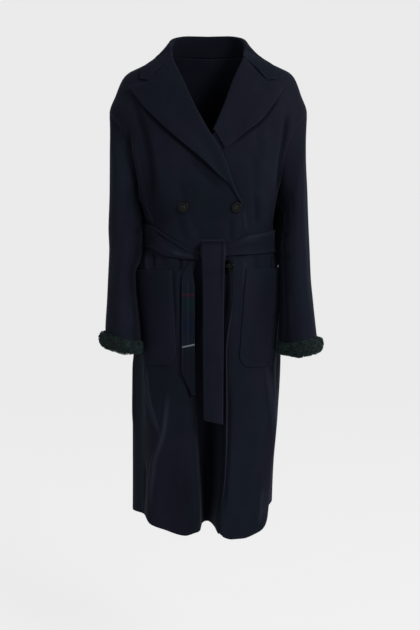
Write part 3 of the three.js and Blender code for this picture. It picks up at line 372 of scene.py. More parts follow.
def table_value(table, key, at, column):
    """A smooth value of one column of a table at places along its key column."""
    places = np.array([row[key] for row in table], float)
    values = np.array([row[column] for row in table], float)
    if places[0] > places[-1]:
        places, values = places[::-1], values[::-1]
    slopes = np.diff(values) / np.diff(places)
    before, after = slopes[:-1], slopes[1:]
    same = before * after > 0
    inner = np.where(same, 2 * before * after / np.where(same, before + after, 1), 0)
    tangents = np.concatenate([slopes[:1], inner, slopes[-1:]])
    at = np.clip(np.asarray(at, float), places[0], places[-1])
    i = np.clip(np.searchsorted(places, at) - 1, 0, len(places) - 2)
    span = places[i + 1] - places[i]
    t = (at - places[i]) / span
    return (
        values[i] * (1 + 2 * t) * (1 - t) ** 2
        + values[i + 1] * t * t * (3 - 2 * t)
        + span * (tangents[i] * t * (1 - t) ** 2 - tangents[i + 1] * t * t * (1 - t))
    )


def table_columns(table, key, at, names):
    """Values of several columns, whose names are words in one string."""
    return (table_value(table, key, at, name) for name in names.split())


# ---------------------------------------------------------------- the body surface


def section(z, column):
    return table_value(SECTIONS, "z", z, column)


def half_width(x, z):
    return np.where(np.asarray(x) < 0, section(z, "right"), section(z, "left"))


def half_depth(y, z):
    return np.where(np.asarray(y) < 0, section(z, "front"), section(z, "back"))


def angle_of_x(x, z):
    share = np.minimum(np.abs(x) / half_width(x, z), 1)
    return np.sign(x) * np.arcsin(share ** (SQUARENESS / 2))


def x_of_depth(side, y, z, extra=0):
    share = np.minimum(np.abs(y) / (half_depth(y, z) + extra), 1)
    return side * (half_width(side, z) + extra) * (1 - share**SQUARENESS) ** (1 / SQUARENESS)


def fold_height(angle, z):
    height = np.zeros(np.broadcast(angle, z).shape)
    for fold in FOLDS:
        path = rows("z angle", *fold["path"])
        top, bottom = path[0]["z"], path[-1]["z"]
        middle = np.radians(table_value(path, "z", z, "angle"))
        off = np.abs(angle - middle) % (2 * np.pi)
        off = np.where(off > np.pi, 2 * np.pi - off, off)
        grow = ease(top - z, 0, 160)
        if bottom > -1100:
            grow = grow * (1 - ease(z, bottom + 90, bottom))
        across = np.minimum(off / (2 * math.radians(fold["half_angle"])), 1)
        height += fold["height"] * grow * np.cos(across * np.pi / 2) ** 2
    return height


def stroke(u, v, path, half_width, ends=0.28):
    """How much of a crease is at each place: 1 along its middle, 0 beyond its sides and ends."""
    share = np.zeros(np.shape(u))
    points = smooth_path(path)
    low, high = points.min(0) - 2 * half_width, points.max(0) + 2 * half_width
    near = (u > low[0]) & (u < high[0]) & (v > low[1]) & (v < high[1])
    if not near.any():
        return share
    u, v = u[near], v[near]
    steps = np.diff(points, axis=0)
    lengths = np.linalg.norm(steps, axis=1)
    best, along, done = np.full(u.shape, np.inf), np.zeros(u.shape), 0
    for start, step, length in zip(points[:-1], steps, lengths):
        t = np.clip(((u - start[0]) * step[0] + (v - start[1]) * step[1]) / length**2, 0, 1)
        off = np.hypot(u - start[0] - t * step[0], v - start[1] - t * step[1])
        along = np.where(off < best, done + t * length, along)
        best = np.minimum(off, best)
        done += length
    across = np.cos(np.minimum(best / (2 * half_width), 1) * np.pi / 2) ** 2
    share[near] = across * ease(along / done, 0, ends) * ease(1 - along / done, 0, ends)
    return share


def smooth_path(path, steps=5):
    """A smooth curve through a few points."""
    points = np.array(path, float)
    ends = np.vstack([2 * points[0] - points[1], points, 2 * points[-1] - points[-2]])
    out = []
    for a, b, c, d in zip(ends[:-3], ends[1:-2], ends[2:-1], ends[3:]):
        for t in np.linspace(0, 1, steps, endpoint=False):
            out.append(0.5 * (2 * b + (c - a) * t + (2 * a - 5 * b + 4 * c - d) * t**2
                              + (3 * b - a - 3 * c + d) * t**3))
    return np.array([*out, points[-1]])


FACES = {"front": (1, -1), "back": (1, 1), "right": (0, -1), "left": (0, 1)}


def creases(points, out, column):
    """The sum of one column of the creases at points of the body; out is the outward direction."""
    total = np.zeros(points.shape[:-1])
    for crease in CREASES:
        axis, sign = FACES[crease["face"]]
        facing = ease(sign * out[..., axis], 0.12, 0.5)
        share = stroke(points[..., 1 - axis], points[..., 2], crease["path"], crease["half_width"])
        total += crease[column] * share * facing
    return total


def valley_depth(x, z):
    fold = table_value(OUTER_FRONT, "z", z, "fold")
    edge = table_value(OUTER_FRONT, "z", z, "edge")
    deep = table_value(VALLEY_PROFILE, "across", (x - fold) / (edge - fold), "deep")
    return table_value(VALLEY_DEPTH, "z", z, "depth") * deep


def valley_shade_and_highlight(x, z):
    """Painted shade in the front's valley, and a painted highlight along the outer front's edge beside
    it.
    """
    fold = table_value(OUTER_FRONT, "z", z, "fold")
    edge = table_value(OUTER_FRONT, "z", z, "edge")
    across = (x - fold) / (edge - fold)
    dark = (0.35 + 0.55 * ease(across, 0.3, 0.75)) * ease(across, -0.14, 0.05) * ease(-z, 520, 760)
    highlit = ease(x - edge, -4.5, -1.5)
    return 1.2 * highlit * ease(-z, 560, 700) - dark * (1 - highlit)


def armpit_shade(x, z):
    """Painted shade where a sleeve hides the side of the body."""
    hidden = ease(np.abs(x) / half_width(x, z), 0.9, 0.99)
    return -0.8 * hidden * ease(-z, 130, 200) * ease(z, -470, -400)


def surface_point(angle, z):
    angle, z = np.broadcast_arrays(np.asarray(angle, float), np.asarray(z, float))
    s, c = np.sin(angle), np.cos(angle)
    width, depth = half_width(s, z), half_depth(-c, z)
    x = np.sign(s) * width * np.abs(s) ** (2 / SQUARENESS)
    y = -np.sign(c) * depth * np.abs(c) ** (2 / SQUARENESS)
    out = unit(np.stack([x / width**2, y / depth**2], -1))
    height = fold_height(angle, z)
    inward = np.where(c > 0, valley_depth(x, z), 0)
    return np.stack([x + out[..., 0] * height, y + out[..., 1] * height + inward, z], -1)


def surface_normal(angle, z):
    turn, rise = 0.0006, 0.4
    around = surface_point(angle + turn, z) - surface_point(angle - turn, z)
    up = surface_point(angle, z + rise) - surface_point(angle, z - rise)
    return unit(np.cross(around, up))


def on_body(angle, z, lift):
    angle, z, lift = np.broadcast_arrays(*(np.asarray(v, float) for v in (angle, z, lift)))
    point, normal = surface_point(angle, z), surface_normal(angle, z)
    return point + normal * (lift + creases(point, normal, "height"))[..., None]


def on_front(x, z, lift):
    x, z = np.asarray(x, float), np.asarray(z, float)
    return on_body(angle_of_x(x, z), z, lift)


def hem_height(angle):
    return table_value(HEM, "angle", np.degrees(angle), "z")


def outer_lift(x, z):
    fold = table_value(OUTER_FRONT, "z", z, "fold")
    edge = table_value(OUTER_FRONT, "z", z, "edge")
    start = fold - 0.25 * (edge - fold)
    return OVERLAP_LIFT * ease(x - start, -50, -6) * ease(-np.asarray(z), 130, 180)


def outer_front_lift(angle, z):
    return outer_lift(surface_point(angle, z)[..., 0], z)


def no_lift(angle, z):
    return np.zeros(np.broadcast(angle, z).shape)


def keep_off(points, lift):
    """Moves points out until they lie at least a given height off the body."""
    x, y = points[..., 0], points[..., 1]
    z = np.clip(points[..., 2], -1150, NECK_HEIGHT - 1)
    angle = np.arctan2(x / half_width(x, z), -y / half_depth(y, z))
    for _ in range(10):
        here = surface_point(angle, z)
        around = (surface_point(angle + 0.001, z) - here) / 0.001
        up = (surface_point(angle, z + 0.5) - here) / 0.5
        miss = points - here
        rr, ru, uu = ((a * b).sum(-1) for a, b in ((around, around), (around, up), (up, up)))
        mr, mu = (miss * around).sum(-1), (miss * up).sum(-1)
        det = rr * uu - ru * ru
        angle = angle + 0.8 * (uu * mr - ru * mu) / det
        z = np.clip(z + 0.8 * (rr * mu - ru * mr) / det, -1150, NECK_HEIGHT - 1)
    normal = surface_normal(angle, z)
    height = ((points - surface_point(angle, z)) * normal).sum(-1)
    return points + normal * np.maximum(lift - height, 0)[..., None]


# ---------------------------------------------------------------- fronts and back

BODY_ROWS = [
    *({"z": z} for z in np.linspace(NECK_HEIGHT, ARMHOLE_MIDDLE + ARMHOLE_HALF_HEIGHT, 34)[:-1]),
    *({"z": ARMHOLE_MIDDLE + ARMHOLE_HALF_HEIGHT * math.cos(t)} for t in np.linspace(0, math.pi, 56)),
    *({"z": z} for z in np.linspace(ARMHOLE_MIDDLE - ARMHOLE_HALF_HEIGHT, SKIRT_HEIGHT, 42)[1:-1]),
    *({"share": share} for share in np.linspace(0, 1, 120)),
]


def side_angle(side, facing, z):
    """The angle at which a panel ends: the side or shoulder seam, or the armhole."""
    height = (np.asarray(z, float) - ARMHOLE_MIDDLE) / ARMHOLE_HALF_HEIGHT
    depth = ARMHOLE_HALF_DEPTH * np.sqrt(np.clip(1 - height**2, 0, None))
    c = (np.maximum(depth, SIDE_GAP) / half_depth(facing, z)) ** (SQUARENESS / 2)
    return side * (np.arccos(c) if facing < 0 else np.pi - np.arccos(c))


ACROSS = finer([row["across"] for row in VALLEY_PROFILE], 5)
SIDE_SHARES = np.linspace(0, 1, 65)


def outer_front_angles(z):
    """Places across the outer front, from the side seam to its edge; z has one value a row."""
    z = np.asarray(z, float)[..., None]
    fold = table_value(OUTER_FRONT, "z", z, "fold")
    edge = table_value(OUTER_FRONT, "z", z, "edge")
    roll = ROLL_SETBACK * ease(z, BREAK_HEIGHT - 24, BREAK_HEIGHT - 1)
    x = np.minimum(fold + ACROSS * (edge - fold), edge - roll * (0.2 + 0.8 * ACROSS))
    middle = angle_of_x(x, z)
    side = mix(side_angle(RIGHT, FRONT, z), middle[..., :1], SIDE_SHARES[:-1])
    return np.concatenate([side, middle], -1)


def under_front_angles(z):
    """Places across the under front, from its hidden edge to the side seam."""
    z = np.asarray(z, float)[..., None]
    first = VALLEY_PROFILE[0]["across"]
    shared_fold = table_value(OUTER_FRONT, "z", SHARED_HEIGHT, "fold")
    shared_edge = table_value(OUTER_FRONT, "z", SHARED_HEIGHT, "edge")
    last = {"z": SHARED_HEIGHT, "hidden": shared_fold + first * (shared_edge - shared_fold),
            "covered": shared_edge}
    fold = table_value(OUTER_FRONT, "z", z, "fold")
    edge = table_value(OUTER_FRONT, "z", z, "edge")
    roll = (ROLL_SETBACK + SEAM) * ease(z, UNDER_LAPEL_END - 34, UNDER_LAPEL_END - 12)
    table = [*UNDER_FRONT, last]
    hidden = np.where(z <= SHARED_HEIGHT, fold + first * (edge - fold),
                      table_value(table, "z", z, "hidden") + roll)
    covered = np.where(z <= SHARED_HEIGHT, edge, table_value(table, "z", z, "covered") + roll)
    middle = angle_of_x(mix(hidden, covered, (ACROSS - first) / (1 - first)), z)
    side = mix(middle[..., -1:], side_angle(LEFT, FRONT, z), SIDE_SHARES[1:])
    return np.concatenate([middle, side], -1)


def back_angles(z):
    z = np.asarray(z, float)[..., None]
    left, right = side_angle(LEFT, BACK, z), 2 * np.pi + side_angle(RIGHT, BACK, z)
    return mix(left, right, np.linspace(0, 1, 145))


def panel_grid(angles_at, lift_at):
    grid = []
    for row in BODY_ROWS:
        nominal = row["z"] if "z" in row else mix(SKIRT_HEIGHT, HEM_MIDDLE, row["share"])
        angles = angles_at(np.array([nominal]))[0]
        if "z" in row:
            z = np.full(len(angles), row["z"])
        else:
            turned = np.where(angles > np.pi, angles - 2 * np.pi, angles)
            z = mix(SKIRT_HEIGHT, hem_height(turned), row["share"])
            angles = angles_at(z)[np.arange(len(z)), np.arange(len(z))]
        grid.append((angles, z))
    angles, z = np.array([g[0] for g in grid]), np.array([g[1] for g in grid])
    return on_body(angles, z, lift_at(angles, z) + CLOTH / 2)


# ---------------------------------------------------------------- lapels and collar


def outer_roll(z):
    return table_value(OUTER_FRONT, "z", z, "edge") - ROLL_REACH


def under_roll(z):
    return table_value(UNDER_FRONT, "z", z, "hidden") + ROLL_REACH


def lapel_standoff(side, t):
    """Height of a lapel's middle over the middle of the front that it lies on."""
    lift = 5.5 if side < 0 else 3.8
    return mix(2 * ROLL_RADIUS, CLOTH + 1, ease(t, 0, 0.4)) + lift * ease(t, 0.5, 1)


def lapel_grid(side, edge_table, bottom, roll_at, lift_at):
    top = GORGE_HEIGHT - NOTCH_GAP
    z = np.linspace(top, bottom, 72)[:, None]
    s = (z - top) / (bottom - top)
    x = roll_at(z)
    turns = np.radians(np.linspace(-90, 90, 13))
    fold_x = x - side * (SEAM / 2 + ROLL_RADIUS * np.cos(turns))
    fold_z = np.broadcast_to(z, fold_x.shape)
    fold = on_front(fold_x, fold_z, lift_at(x, z) + CLOTH / 2 + ROLL_RADIUS * (1 + np.sin(turns)))
    t = finer([0.03, 0.12, 0.28, 0.46, NOTCH_SHARE, 0.82, 1], 5)
    edge_x, edge_z = table_value(edge_table, "s", s, "x"), table_value(edge_table, "s", s, "z")
    notch_x, notch_z = side * NOTCH_X, NOTCH_Z - NOTCH_GAP
    past = (t - NOTCH_SHARE) / (1 - NOTCH_SHARE)
    before = t < NOTCH_SHARE
    top_x = np.where(before, mix(x, notch_x, t / NOTCH_SHARE), mix(notch_x, edge_x, past))
    top_z = np.where(before, mix(z, notch_z, t / NOTCH_SHARE), mix(notch_z, edge_z, past))
    bend = (1 - s) ** 2
    px = mix(mix(x, edge_x, t), top_x, bend)
    pz = mix(mix(z, edge_z, t), top_z, bend)
    standoff = lapel_standoff(side, t * np.minimum(1, 3 * (1 - s)))
    flat = on_front(px, pz, lift_at(px, pz) + CLOTH / 2 + standoff)
    return np.concatenate([fold, flat], 1)


def collar_grid():
    shares = np.linspace(-1, 1, 125)
    side, at = np.where(shares < 0, RIGHT, LEFT), np.abs(shares)
    last = COLLAR[-1]["s"]
    to_gorge = np.clip((at - last) / (1 - last), 0, None)[:, None]
    ends = [np.where(side[:, None] < 0, right, left)
            for right, left in zip(gorge_section(RIGHT), gorge_section(LEFT))]
    seam, fold, edge = (mix(a, b, to_gorge)
                        for a, b in zip(collar_section(np.minimum(at, last), side), ends))
    up = unit(fold - seam)
    out = edge - fold
    out = unit(out - up * (out * up).sum(-1, keepdims=True))
    turn = np.radians(np.linspace(0, 165, 12))[:, None]
    up, out = up[:, None] * ROLL_RADIUS, out[:, None] * ROLL_RADIUS
    turned = fold[:, None] + out * (1 - np.cos(turn)) + up * (np.sin(turn) - 1)
    stand = mix(seam[:, None], turned[:, :1], np.linspace(0, 1, 8)[:-1, None])
    t = finer([0.06, 0.22, 0.46, LEAF_NOTCH_SHARE, 1], 5)
    bent = mix(turned[:, -1:], edge[:, None], t[:, None])
    notched = np.where(side[:, None, None] < 0, gorge_points(RIGHT, turned[:, -1], t),
                       gorge_points(LEFT, turned[:, -1], t))
    leaf = mix(bent, notched, to_gorge[:, None] ** 2)
    leaf = keep_off(leaf, CLOTH * 1.5 + 1.6 + 1.6 * t)
    return np.concatenate([stand, turned, leaf], 1)


def collar_section(at, side):
    seam_angle, seam_z, fold_x, fold_y, fold_z, leaf_angle, leaf_z = (
        table_value(COLLAR, "s", at, column) for column in list(COLLAR[0])[1:])
    angle = side * np.radians(seam_angle)
    seam = on_body(angle, seam_z, CLOTH / 2)
    seam = seam + unit(seam - on_body(angle, seam_z - 2, CLOTH / 2)) * STAND_GAP
    fold = np.stack([side * fold_x, fold_y, fold_z], -1)
    edge = on_body(side * np.radians(leaf_angle), leaf_z, CLOTH * 1.5 + 2)
    return seam, fold, edge


def gorge_section(side):
    """The collar's last section, along the gorge seam and the notch."""
    roll = float((outer_roll if side < 0 else under_roll)(GORGE_HEIGHT))
    height = GORGE_HEIGHT + NOTCH_GAP
    seam = on_front(roll - side * STAND_GAP, height + 1, CLOTH / 2)
    fold = on_front(roll - side * ROLL_RADIUS, height + 2, CLOTH / 2 + 2 * ROLL_RADIUS)
    edge = on_front(side * LEAF_TIP_X, LEAF_TIP_Z, CLOTH * 1.5 + 3)
    return seam, fold, edge


def gorge_points(side, start, t):
    """Points along the gorge seam to the notch, and on to the tip of the collar's leaf."""
    notch = on_front(side * (NOTCH_X + NOTCH_GAP), NOTCH_Z + NOTCH_GAP, CLOTH * 1.5 + 2)
    tip = on_front(side * LEAF_TIP_X, LEAF_TIP_Z, CLOTH * 1.5 + 3)
    t = t[:, None]
    return np.where(t <= LEAF_NOTCH_SHARE, mix(start[:, None], notch, t / LEAF_NOTCH_SHARE),
                    mix(notch, tip, (t - LEAF_NOTCH_SHARE) / (1 - LEAF_NOTCH_SHARE)))


# ---------------------------------------------------------------- sleeves


POCKET_TOP, POCKET_LENGTH = -516, 228


def sleeve_limit(side, y, z, into):
    """How near to the middle a sleeve may come, over the body and the pocket on its front."""
    s = np.clip((z - POCKET_TOP) / -POCKET_LENGTH, 0, 1)
    outer = np.abs(table_value(POCKETS[side], "s", s, "outer"))
    share = np.minimum(outer / half_width(side, z), 1)
    pocket_edge = -section(z, "front") * (1 - share**SQUARENESS) ** (1 / SQUARENESS)
    over_pocket = ease(-z, 496, 510) * ease(pocket_edge + 8 - y, 0, 8)
    clear = into + CLOTH + mix(BODY_CLEARANCE, POCKET_CLEARANCE, over_pocket)
    return x_of_depth(side, y, z, clear)


def sleeve_point(side, z, turn, into):
    """A point round a sleeve: turn 0 is its outer side, a quarter turn its front."""
    table = SLEEVE_TABLES[side]
    outer, inner, middle, tuck = table_columns(table, "z", z, "outer inner middle tuck")
    width = np.abs(outer - inner) / 2 - into
    off = np.minimum(np.abs(turn - TUCK_TURN) / TUCK_HALF, 1)
    y = middle - (SLEEVE_HALF_DEPTH - into) * np.sin(turn)
    x = (outer + inner) / 2 + side * (width * np.cos(turn) - tuck * np.cos(off * np.pi / 2) ** 2)
    limit = sleeve_limit(side, y, z, into)
    return np.stack([side * np.maximum(side * x, side * limit), y, np.broadcast_to(z, np.shape(y))], -1)


def armhole_point(side, turn, lift):
    z = ARMHOLE_MIDDLE + (ARMHOLE_HALF_HEIGHT - SEAM) * np.cos(turn)
    y = -(ARMHOLE_HALF_DEPTH - SEAM) * np.sin(turn)
    share = (np.abs(y) / half_depth(y, z)) ** (SQUARENESS / 2)
    angle = side * np.where(y < 0, np.arccos(share), np.pi - np.arccos(share))
    return on_body(angle, z, lift)


def sleeve_end(side, turn):
    middle, tilt = SLEEVE_ENDS[side]
    return middle + tilt * np.cos(turn)


SLEEVE_DEGREE = 0.9


def sleeve_grid(side):
    turn = np.linspace(0, 2 * np.pi, 97)[:-1][None, :]
    s = finer([0, 0.035, 0.08, 0.14, 0.21, 0.29, 0.37, 0.46, 0.55, 0.65, 0.76, 0.88, 1], 8)[:, None]
    start = armhole_point(side, turn[0], CLOTH / 2)
    z = mix(start[None, :, 2], sleeve_end(side, turn), s)
    level = np.broadcast_to(start, (len(s), *start.shape)).copy()
    level[..., 2] = z
    turns = np.broadcast_to(turn, z.shape)
    grid = mix(level, sleeve_point(side, z, turns, CLOTH / 2), ease(s, 0, 0.14)[..., None])
    height, tone = np.zeros(z.shape), np.zeros(z.shape)
    for crease in SLEEVE_CREASES[side]:
        path = [(at * SLEEVE_DEGREE, height_) for at, height_ in crease["path"]]
        share = stroke(np.degrees(turns) * SLEEVE_DEGREE, z, path, crease["half_width"])
        height += crease["height"] * share
        tone += crease["tone"] * share
    # Painted shade on each sleeve's inner side, where it faces the body; the creases' tone above is
    # painted shade and highlight too.
    tone = tone - 0.8 * ease(-np.cos(turns), 0.45, 0.95) * ease(-z, 150, 260)
    out = np.stack([side * np.cos(turns), -np.sin(turns), 0 * turns], -1)
    grid = grid + out * (height * ease(s, 0.1, 0.2))[..., None]
    limit = sleeve_limit(side, grid[..., 1], z, CLOTH / 2)
    inside = ease(s, 0.14, 0.2) > 0
    grid[..., 0] = np.where(inside, side * np.maximum(side * grid[..., 0], side * limit), grid[..., 0])
    return grid, tone


# ---------------------------------------------------------------- pockets and belt


def pocket_grid(side):
    table = POCKETS[side]
    lift_at = outer_front_lift if side < 0 else no_lift
    s = finer([0, 0.04, 0.14, 0.28, 0.42, 0.56, 0.7, 0.84, 0.95, 1], 5)[:, None]
    across = np.linspace(0, 1, 37)[None, :]
    z = table_value(table, "s", s, "z")
    cut = POCKET_CORNER * ease(s, 0.88, 1) * (2 * np.abs(across - 0.5)) ** 6
    start = angle_of_x(table_value(table, "s", s, "inner"), z)
    end = angle_of_x(table_value(table, "s", s, "outer"), z)
    squeeze = 1 - 0.1 * ease(s, 0.9, 1)
    angle = mix(start, end, 0.5 + (across - 0.5) * squeeze)
    z = z + cut
    gape = POCKET_GAPE * (1 - ease(s, 0, 0.3)) * np.sin(np.pi * across).clip(0) ** 0.7
    return on_body(angle, z, lift_at(angle, z) + CLOTH + POCKET_LIFT + gape + CLOTH / 2)


def cloth_top(angle, z):
    """Top of the cloth that the belt lies on."""
    turned = np.where(angle < -np.pi, angle + 2 * np.pi, angle)
    covered = np.where(turned < 0, outer_front_lift(turned, z),
                       OVERLAP_LIFT * (1 - ease(surface_point(turned, z)[..., 0], 84, 104)))
    return CLOTH + np.where(np.cos(turned) > 0, covered, 0)


BELT_DEGREE = 0.04


def belt_grid():
    degrees = np.linspace(BELT_PATH[0]["angle"], BELT_PATH[-1]["angle"], 221)[None, :]
    down = np.linspace(0, 1, 15)[:, None]
    z = mix(table_value(BELT_PATH, "angle", degrees, "top"),
            table_value(BELT_PATH, "angle", degrees, "bottom"), down)
    angle = np.broadcast_to(np.radians(degrees), z.shape)
    height, tone = np.zeros(z.shape), np.zeros(z.shape)
    for crease in BELT_CREASES:
        # Belt creases are long and low, so their paths are measured with degrees made smaller.
        path = [(at * BELT_DEGREE, share) for at, share in crease["path"]]
        share = stroke(degrees * BELT_DEGREE + 0 * z, down + 0 * z, path, crease["half_width"])
        height += crease["height"] * share
        tone += crease["tone"] * share
    lift = cloth_top(angle, z) + BELT_LIFT + BELT_WALL / 2
    return on_body(angle, z, lift + np.maximum(height, -BELT_LIFT + LAYER)), tone


def front_tail_grid():
    z = finer([-444, -446, -451, -460, -476, -490, -504, -520,
               -545, -590, -640, -700, -760, -820, -870], 6)[:, None]
    across = np.linspace(0, 1, 15)[None, :]
    left, right, off = table_columns(FRONT_TAIL, "z", z, "left right off")
    arch = 2.5 * np.sin(np.pi * across)
    y = -section(z, "front") - off - arch
    slant = 10 * across * ease(-z, 820, 870)
    tucked = np.exp(-(((across - 0.86) / 0.035) ** 2)) * ease(-z, 446, 452) * ease(z, -640, -520)
    # Painted shade under the knot at the tail's top, in its tuck and along its left edge; the last term
    # paints a highlight along its right edge.
    tone = -0.9 * (1 - ease(-z, 448, 462)) - 0.9 * tucked - 0.35 * ease(0.1 - across, 0, 0.1)
    grid = np.stack([mix(left, right, across), y + 1.4 * tucked, z - slant], -1)
    return grid, tone + 0.3 * ease(across, 0.9, 0.96)


TAIL_FACE_SHARE, TAIL_TURN_SHARE = 0.44, 0.74


def reverse_tail_grid():
    share = finer([0, 0.22, TAIL_FACE_SHARE, 0.6, TAIL_TURN_SHARE, 0.87, 1], 4)[None, :]
    z = finer([-494, -502, -512, -522, -534, -548, -570, -610, -650, -690, -725, -756], 7)[:, None]
    start, face, inward, off = table_columns(REVERSE_TAIL, "z", z, "start face inward off")
    bend = np.minimum(7, face * 0.4)
    slant = 50 * np.minimum(share / TAIL_FACE_SHARE, 1.1) * ease(-z, 725, 756)
    turn = np.clip((share - TAIL_FACE_SHARE) / (TAIL_TURN_SHARE - TAIL_FACE_SHARE), 0, 1) * np.pi / 2
    along = np.minimum(share / TAIL_FACE_SHARE, 1) * (face - bend) + bend * np.sin(turn)
    under = np.clip((share - TAIL_TURN_SHARE) / (1 - TAIL_TURN_SHARE), 0, None)
    deep = bend * (1 - np.cos(turn)) + inward * under
    return np.stack([start + along, -section(z, "front") - off + deep, z - slant], -1)


# ---------------------------------------------------------------- meshes


def link(name, mesh):
    piece = bpy.data.objects.new(name, mesh)
    bpy.context.scene.collection.objects.link(piece)
    return piece


def only_nothing():
    """Leaves no piece selected."""
    for other in bpy.context.view_layer.objects:
        other.select_set(False)


def only(piece):
    """Makes a piece the one that is selected and active."""
    only_nothing()
    piece.select_set(True)
    bpy.context.view_layer.objects.active = piece


def apply_all(piece):
    only(piece)
    for modifier in list(piece.modifiers):
        bpy.ops.object.modifier_apply(modifier=modifier.name)


def lengths_along(grid, axis):
    """How far each point lies from the start of its row or column."""
    steps = np.linalg.norm(np.diff(grid, axis=axis), axis=-1)
    zero = np.zeros_like(np.take(steps, [0], axis))
    return np.concatenate([zero, np.cumsum(steps, axis)], axis)


def set_attribute(mesh, name, values):
    attribute = mesh.attributes.new(name, "FLOAT", "POINT")
    attribute.data.foreach_set("value", np.ascontiguousarray(values, np.float32).ravel())


RIM_ROUND = 1.1
RIM_STEPS = 4


def grid_normals(grid, closed):
    """The normal at each point of a grid."""
    if closed:
        around = np.roll(grid, -1, 1) - np.roll(grid, 1, 1)
    else:
        padded = np.pad(grid, ((0, 0), (2, 2), (0, 0)), mode="edge")
        around = padded[:, 4:] - padded[:, :-4]
    padded = np.pad(grid, ((2, 2), (0, 0), (0, 0)), mode="edge")
    down = padded[4:] - padded[:-4]
    return unit(np.cross(down, around) + 1e-12)


def strip(first, second, wraps):
    """Quads between two rows of points."""
    if wraps:
        first, second = np.append(first, first[:1]), np.append(second, second[:1])
    return np.stack([first[:-1], second[:-1], second[1:], first[1:]], -1)


def cloth_wall(name, grid, thickness=CLOTH, closed=False, tone=None):
    """A cloth wall round a grid of points in its middle, with rounded edges."""
    down, around = grid.shape[:2]
    normal = grid_normals(grid, closed)
    index = np.arange(down * around).reshape(down, around)
    ring = np.concatenate([index, index[:, :1]], 1) if closed else index
    sheet = np.stack([ring[:-1, :-1], ring[1:, :-1], ring[1:, 1:], ring[:-1, 1:]], -1).reshape(-1, 4)

    inward = np.zeros_like(grid)
    reach = np.full(grid.shape[:2], RIM_ROUND)
    borders = [((0, slice(None)), (2, slice(None))), ((-1, slice(None)), (-3, slice(None)))]
    if not closed:
        borders += [((slice(None), 0), (slice(None), 2)), ((slice(None), -1), (slice(None), -3))]
    for border, inner in borders:
        step = grid[inner] - grid[border]
        length = np.linalg.norm(step, axis=-1, keepdims=True)
        inward[border] += step / np.maximum(length, 1e-6)
        reach[border] = np.minimum(reach[border], 0.3 * length[..., 0])
    inward *= reach[..., None]

    front, back = grid + inward + normal * thickness / 2, grid + inward - normal * thickness / 2
    points, faces = [front.reshape(-1, 3), back.reshape(-1, 3)], [sheet, sheet[:, ::-1] + index.size]
    if closed:
        loops = [index[0], index[-1]]
    else:
        loops = [np.concatenate([index[0, :-1], index[:-1, -1], index[-1, :0:-1], index[:0:-1, 0]])]
    flat, inset, up = (a.reshape(-1, 3) for a in (grid, inward, normal))
    count = 2 * index.size
    for loop in loops:
        last = loop
        for turn in np.linspace(0, np.pi, RIM_STEPS + 1)[1:-1]:
            points.append(flat[loop] + inset[loop] * (1 - math.sin(turn))
                          + up[loop] * thickness / 2 * math.cos(turn))
            here = count + np.arange(len(loop))
            faces.append(strip(last, here, True))
            last, count = here, count + len(loop)
        faces.append(strip(last, loop + index.size, True))
    mesh = bpy.data.meshes.new(name)
    mesh.from_pydata((np.vstack(points) * MM).tolist(), [], np.vstack(faces).tolist())

    along, across = lengths_along(grid, 0), lengths_along(grid, 1)
    edge = along[-1:] - along
    if not closed:
        edge = np.minimum(np.minimum(edge, along), np.minimum(across, across[:, -1:] - across))
    tone = np.zeros(edge.shape) if tone is None else tone
    border = np.concatenate([loop for loop in loops for _ in range(RIM_STEPS - 1)])
    for label, values in (("edge_distance", edge * MM), ("along", along * MM),
                          ("across", across * MM), ("tone", tone)):
        values = values.ravel()
        set_attribute(mesh, label, np.concatenate([values, values, values[border]]))
    tidy_normals(mesh)
    piece = link(name, mesh)
    only(piece)
    bpy.ops.object.shade_smooth()
    return piece


def tidy_normals(mesh):
    """Turns the faces of a closed mesh outwards."""
    shape = bmesh.new()
    shape.from_mesh(mesh)
    bmesh.ops.recalc_face_normals(shape, faces=shape.faces)
    shape.to_mesh(mesh)
    shape.free()


# ---------------------------------------------------------------- shader maths


class Value:
    """A node's output that can be used in sums."""

    def __init__(self, graph, socket):
        self.graph, self.socket = graph, socket

    def maths(self, operation, first, second):
        return self.graph.add("ShaderNodeMath", {"operation": operation}, {0: first, 1: second})

    def __add__(self, other):
        return self.maths("ADD", self, other)

    def __sub__(self, other):
        return self.maths("SUBTRACT", self, other)

    def __rsub__(self, other):
        return self.maths("SUBTRACT", other, self)

    def __mul__(self, other):
        return self.maths("MULTIPLY", self, other)

    __radd__, __rmul__ = __add__, __mul__

    def size(self):
        """The value without its sign."""
        return self.graph.add("ShaderNodeMath", {"operation": "ABSOLUTE"}, {0: self})

    def between(self, low, high):
        """0 below low, 1 above high, and smooth between them."""
        return self.graph.add("ShaderNodeMapRange", {"interpolation_type": "SMOOTHSTEP"},
                              {0: self, 1: low, 2: high})


